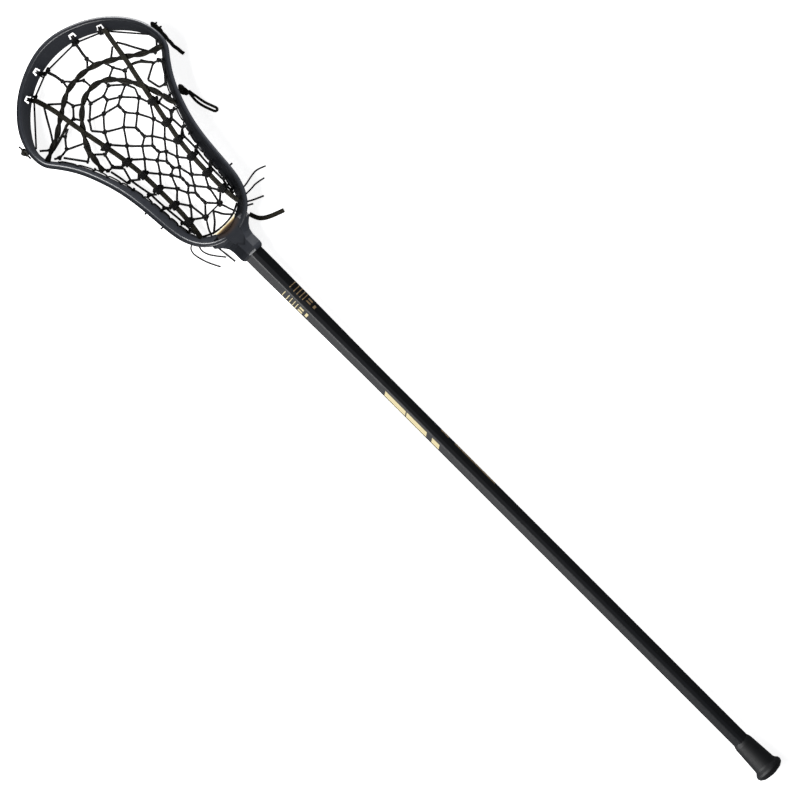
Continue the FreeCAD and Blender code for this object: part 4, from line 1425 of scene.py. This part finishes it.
@dataclass
class LooseEnds:
    """The free ends of string, lace and leather that lie beside the head."""

    palette: Palette
    loop_slack: float = 2.8         # how much wider than a lace the loop at its end is
    loop_cord: float = 0.205        # the radius of the loop's cord against the loop's width
    rope_cord: float = 0.28         # the radius of a rope's strand against the rope's width
    rope_reach: float = 0.22
    rope_turn: float = 34.0
    strap_half_thick: float = 0.9
    cords: tuple[LooseEnd, ...] = (
        LooseEnd("right_long_end", "right_long_tail",
                 ((37.5, 837, 8.2), (44, 837.2, 6.6), (51, 838.8, 3), (58, 840.5, 1),
                  (66, 841.2, 0.95), (75, 837, 0.95)), 1.8, Slot.STRING),
        LooseEnd("right_short_end", "right_short_tail",
                 ((34.5, 830.5, 8.2), (41, 830.2, 6), (48, 830.6, 2.6), (55, 831.5, 0.95),
                  (65, 829, 0.95)), 1.8, Slot.STRING),
        LooseEnd("left_long_end", "left_long_tail",
                 ((-36.5, 834, 8.2), (-43, 832.5, 6), (-46, 826, 2.6), (-44.5, 817, 0.95),
                  (-41, 806, 0.95), (-35, 795, 0.95)), 1.8, Slot.STRING),
        LooseEnd("left_short_end", "left_short_tail",
                 ((-33.5, 829.5, 8.2), (-37.5, 824, 5), (-36, 815, 1.6), (-30.5, 806.5, 0.95),
                  (-23.5, 798, 0.95)), 1.8, Slot.STRING),
        LooseEnd("upper_lace_end", "upper_lace_tail",
                 ((96.6, 1012.8, 22), (96.4, 1006.5, 17), (95.8, 1000, 10.5), (96.2, 992.5, 4.5),
                  (98, 983, 2.3)), 4.4, Slot.LACE, lay=Lay.PAIR),
        LooseEnd("lower_lace_end", "lower_lace_tail",
                 ((72.8, 950, 12), (73, 942, 7.5), (74, 933, 3.4), (76.5, 925, 2.3),
                  (80, 916.5, 2.3)), 4.4, Slot.LACE, lay=Lay.LOOP),
        LooseEnd("leather_end", "strap_tail",
                 ((26.5, 812.5, 7), (28.6, 805, 3.4), (34, 799, 1.1), (44, 794, 1.0),
                  (55.5, 790, 1.0)), 5.0, Slot.STRAP, stiffness="medium"))

    def build(self) -> None:
        """Make each free cord."""
        finish = {Slot.STRING: self.palette.string, Slot.LACE: self.palette.lace,
                  Slot.STRAP: self.palette.strap}
        for cord in self.cords:
            route = Route([metres(bend) for bend in cord.route], steps=8)
            if cord.slot is Slot.STRAP:
                parts = [route.strip(self._strap_profile(cord.diameter / 2))]
            elif cord.lay is Lay.LOOP:
                parts = [self._bight(route, cord.diameter + self.loop_slack)]
            elif cord.lay is Lay.PAIR:
                parts = route.strands(cord.diameter * self.rope_cord,
                                      cord.diameter * self.rope_reach, 3, self.rope_turn)
            else:
                parts = [route.tube(cord.diameter / 2, 8)]
            piece = gather(cord.name, parts, finish[cord.slot])
            settle(piece, cord.slot, cord.node)
            tuple(metres(cord.route[0]))
            route.length()
            [tuple(point) for point in route.line()]

    def _strap_profile(self, half: float) -> list[Spot]:
        """Give the section of a plain strap.

        Args:
            half: half the strap's width in millimetres.

        Returns:
            The section's outline, across and up.
        """
        thick = self.strap_half_thick
        top = [(-half, 0.0), (-half * 0.92, 0.6), (-half * 0.7, thick),
               (half * 0.7, thick), (half * 0.92, 0.6), (half, 0.0)]
        return top + [(across, -up) for across, up in reversed(top[1:-1])]

    def _bight(self, route: Route, width: float) -> bpy.types.Mesh:
        """Fold a lace into a long loop that runs out along a route and back.

        Args:
            route: the middle of the loop.
            width: the loop's width over all, in millimetres.

        Returns:
            The loop's mesh.
        """
        radius = width * self.loop_cord
        whole = route.line()
        line = whole[:-2:4] + [whole[-1]]
        sides: list[list[Vector]] = [[], []]
        for index, here in enumerate(line):
            before, after = line[max(0, index - 1)], line[min(len(line) - 1, index + 1)]
            across = (after - before).cross(Vector((0, 0, 1))).normalized()
            spread = (width / 2 - radius) * min(1.0, 0.25 + 3.0 * index / len(line))
            for sense, side in ((-1, sides[0]), (1, sides[1])):
                side.append(here + across * spread * sense * MM)
        tip = line[-1] + (line[-1] - line[-2]).normalized() * radius * MM
        return Route([*sides[0], tip, *reversed(sides[1])], steps=3).tube(radius, 8)


# ---------------------------------------------------------------- hard parts and studio


@dataclass
class FrameParts:
    """The hard parts that keep their own shape and get their finish here."""

    palette: Palette

    def build(self) -> None:
        """Give each hard part its finish."""
        finishes = {"head_frame": self.palette.head, "shaft_tube": self.palette.shaft,
                    "butt_cap": self.palette.rubber, "head_screw": self.palette.steel,
                    "ball_stop": self.palette.lip}
        for node, material in finishes.items():
            for slot in bpy.data.objects[node].material_slots:
                slot.material = material
            log.info("%s: finished", node)


@dataclass
class Studio:
    """The floor, the lights and the camera."""

    view_width: float = 0.848
    lens: float = 150.0
    sensor: float = 36.0
    aim: tuple[float, float, float] = (-0.0002, 0.0144, 0.0165)
    turn: float = -45.0

    def build(self) -> None:
        """Set the floor, the lights and the camera up."""
        self._floor()
        head = bpy.data.objects["head_frame"]
        self._light("side_box", (-2.0, 0.3, 0.7), (1.8, 1.1), 38.0, unlit=head)
        self._light("upper_box", (-1.5, 0.9, 1.9), (1.8, 1.4), 80.0, unlit=head)
        self._light("wall_box", (1.6, 1.7, 0.8), (2.0, 1.5), 260.0, only=head)
        self._light("scoop_box", (-0.5, -1.5, 0.8), (1.6, 1.4), 90.0, only=head)
        world = bpy.data.worlds.new("studio_air")
        world.use_nodes = True
        air = world.node_tree.nodes["Background"]
        air.inputs["Color"].default_value = (0.92, 0.95, 1.0, 1.0)
        air.inputs["Strength"].default_value = 0.10
        bpy.context.scene.world = world
        bpy.context.scene.view_settings.view_transform = "Standard"
        self._camera()

    def _camera(self) -> None:
        """Set the camera up, straight above the stick."""
        camera = bpy.data.cameras.new("view")
        camera.lens, camera.sensor_width = self.lens, self.sensor
        distance = self.view_width * self.lens / self.sensor
        held = bpy.data.objects.new("view", camera)
        held.location = Vector(self.aim) + Vector((0, 0, distance))
        held.rotation_euler = (0.0, 0.0, math.radians(self.turn))
        bpy.context.scene.collection.objects.link(held)
        bpy.context.scene.camera = held

    @staticmethod
    def _floor() -> None:
        """Lay the plain pale floor."""
        bpy.ops.mesh.primitive_plane_add(size=8.0, location=(0, 0, -0.0003))
        floor = bpy.context.object
        floor.name = "floor"
        paper = bpy.data.materials.new("floor_paper")
        paper.use_nodes = True
        surface = paper.node_tree.nodes["Principled BSDF"]
        surface.inputs["Base Color"].default_value = (0.93, 0.93, 0.93, 1.0)
        surface.inputs["Roughness"].default_value = 0.9
        surface.inputs["Emission Color"].default_value = (1.0, 1.0, 1.0, 1.0)
        surface.inputs["Emission Strength"].default_value = 0.85
        floor.data.materials.append(paper)
        floor.visible_glossy = False

    @staticmethod
    def _light(name: str, place: tuple[float, float, float], size: tuple[float, float],
               watts: float,
               only: bpy.types.Object | None = None,
               unlit: bpy.types.Object | None = None) -> None:
        """Hang one soft light that points at the stick.

        Args:
            name: the light's name.
            place: where it hangs, in metres.
            size: its width and height.
            watts: its power.
            only: the one object that it lights, or None for all.
            unlit: an object that it leaves out, or None.
        """
        data = bpy.data.lights.new(name, "AREA")
        data.shape = "RECTANGLE"
        data.size, data.size_y = size
        data.energy = watts
        held = bpy.data.objects.new(name, data)
        held.location = place
        held.rotation_euler = (-Vector(place)).to_track_quat("-Z", "Y").to_euler()
        if only or unlit:
            lit = bpy.data.collections.new(name + "_reach")
            lit.objects.link(only or unlit)
            lit.collection_objects[0].light_linking.link_state = "INCLUDE" if only else "EXCLUDE"
            held.light_linking.receiver_collection = lit
        bpy.context.scene.collection.objects.link(held)


def main() -> None:
    """Build the whole stick and the studio."""
    logging.basicConfig(level=logging.INFO, format="%(message)s")
    bpy.ops.object.select_all(action="DESELECT")
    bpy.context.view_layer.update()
    palette = Palette()
    Studio().build()
    LooseEnds(palette).build()
    FrameParts(palette).build()
    HeadLacing(palette).build()
    Pocket(palette).build()


if __name__ == "__main__":
    main()
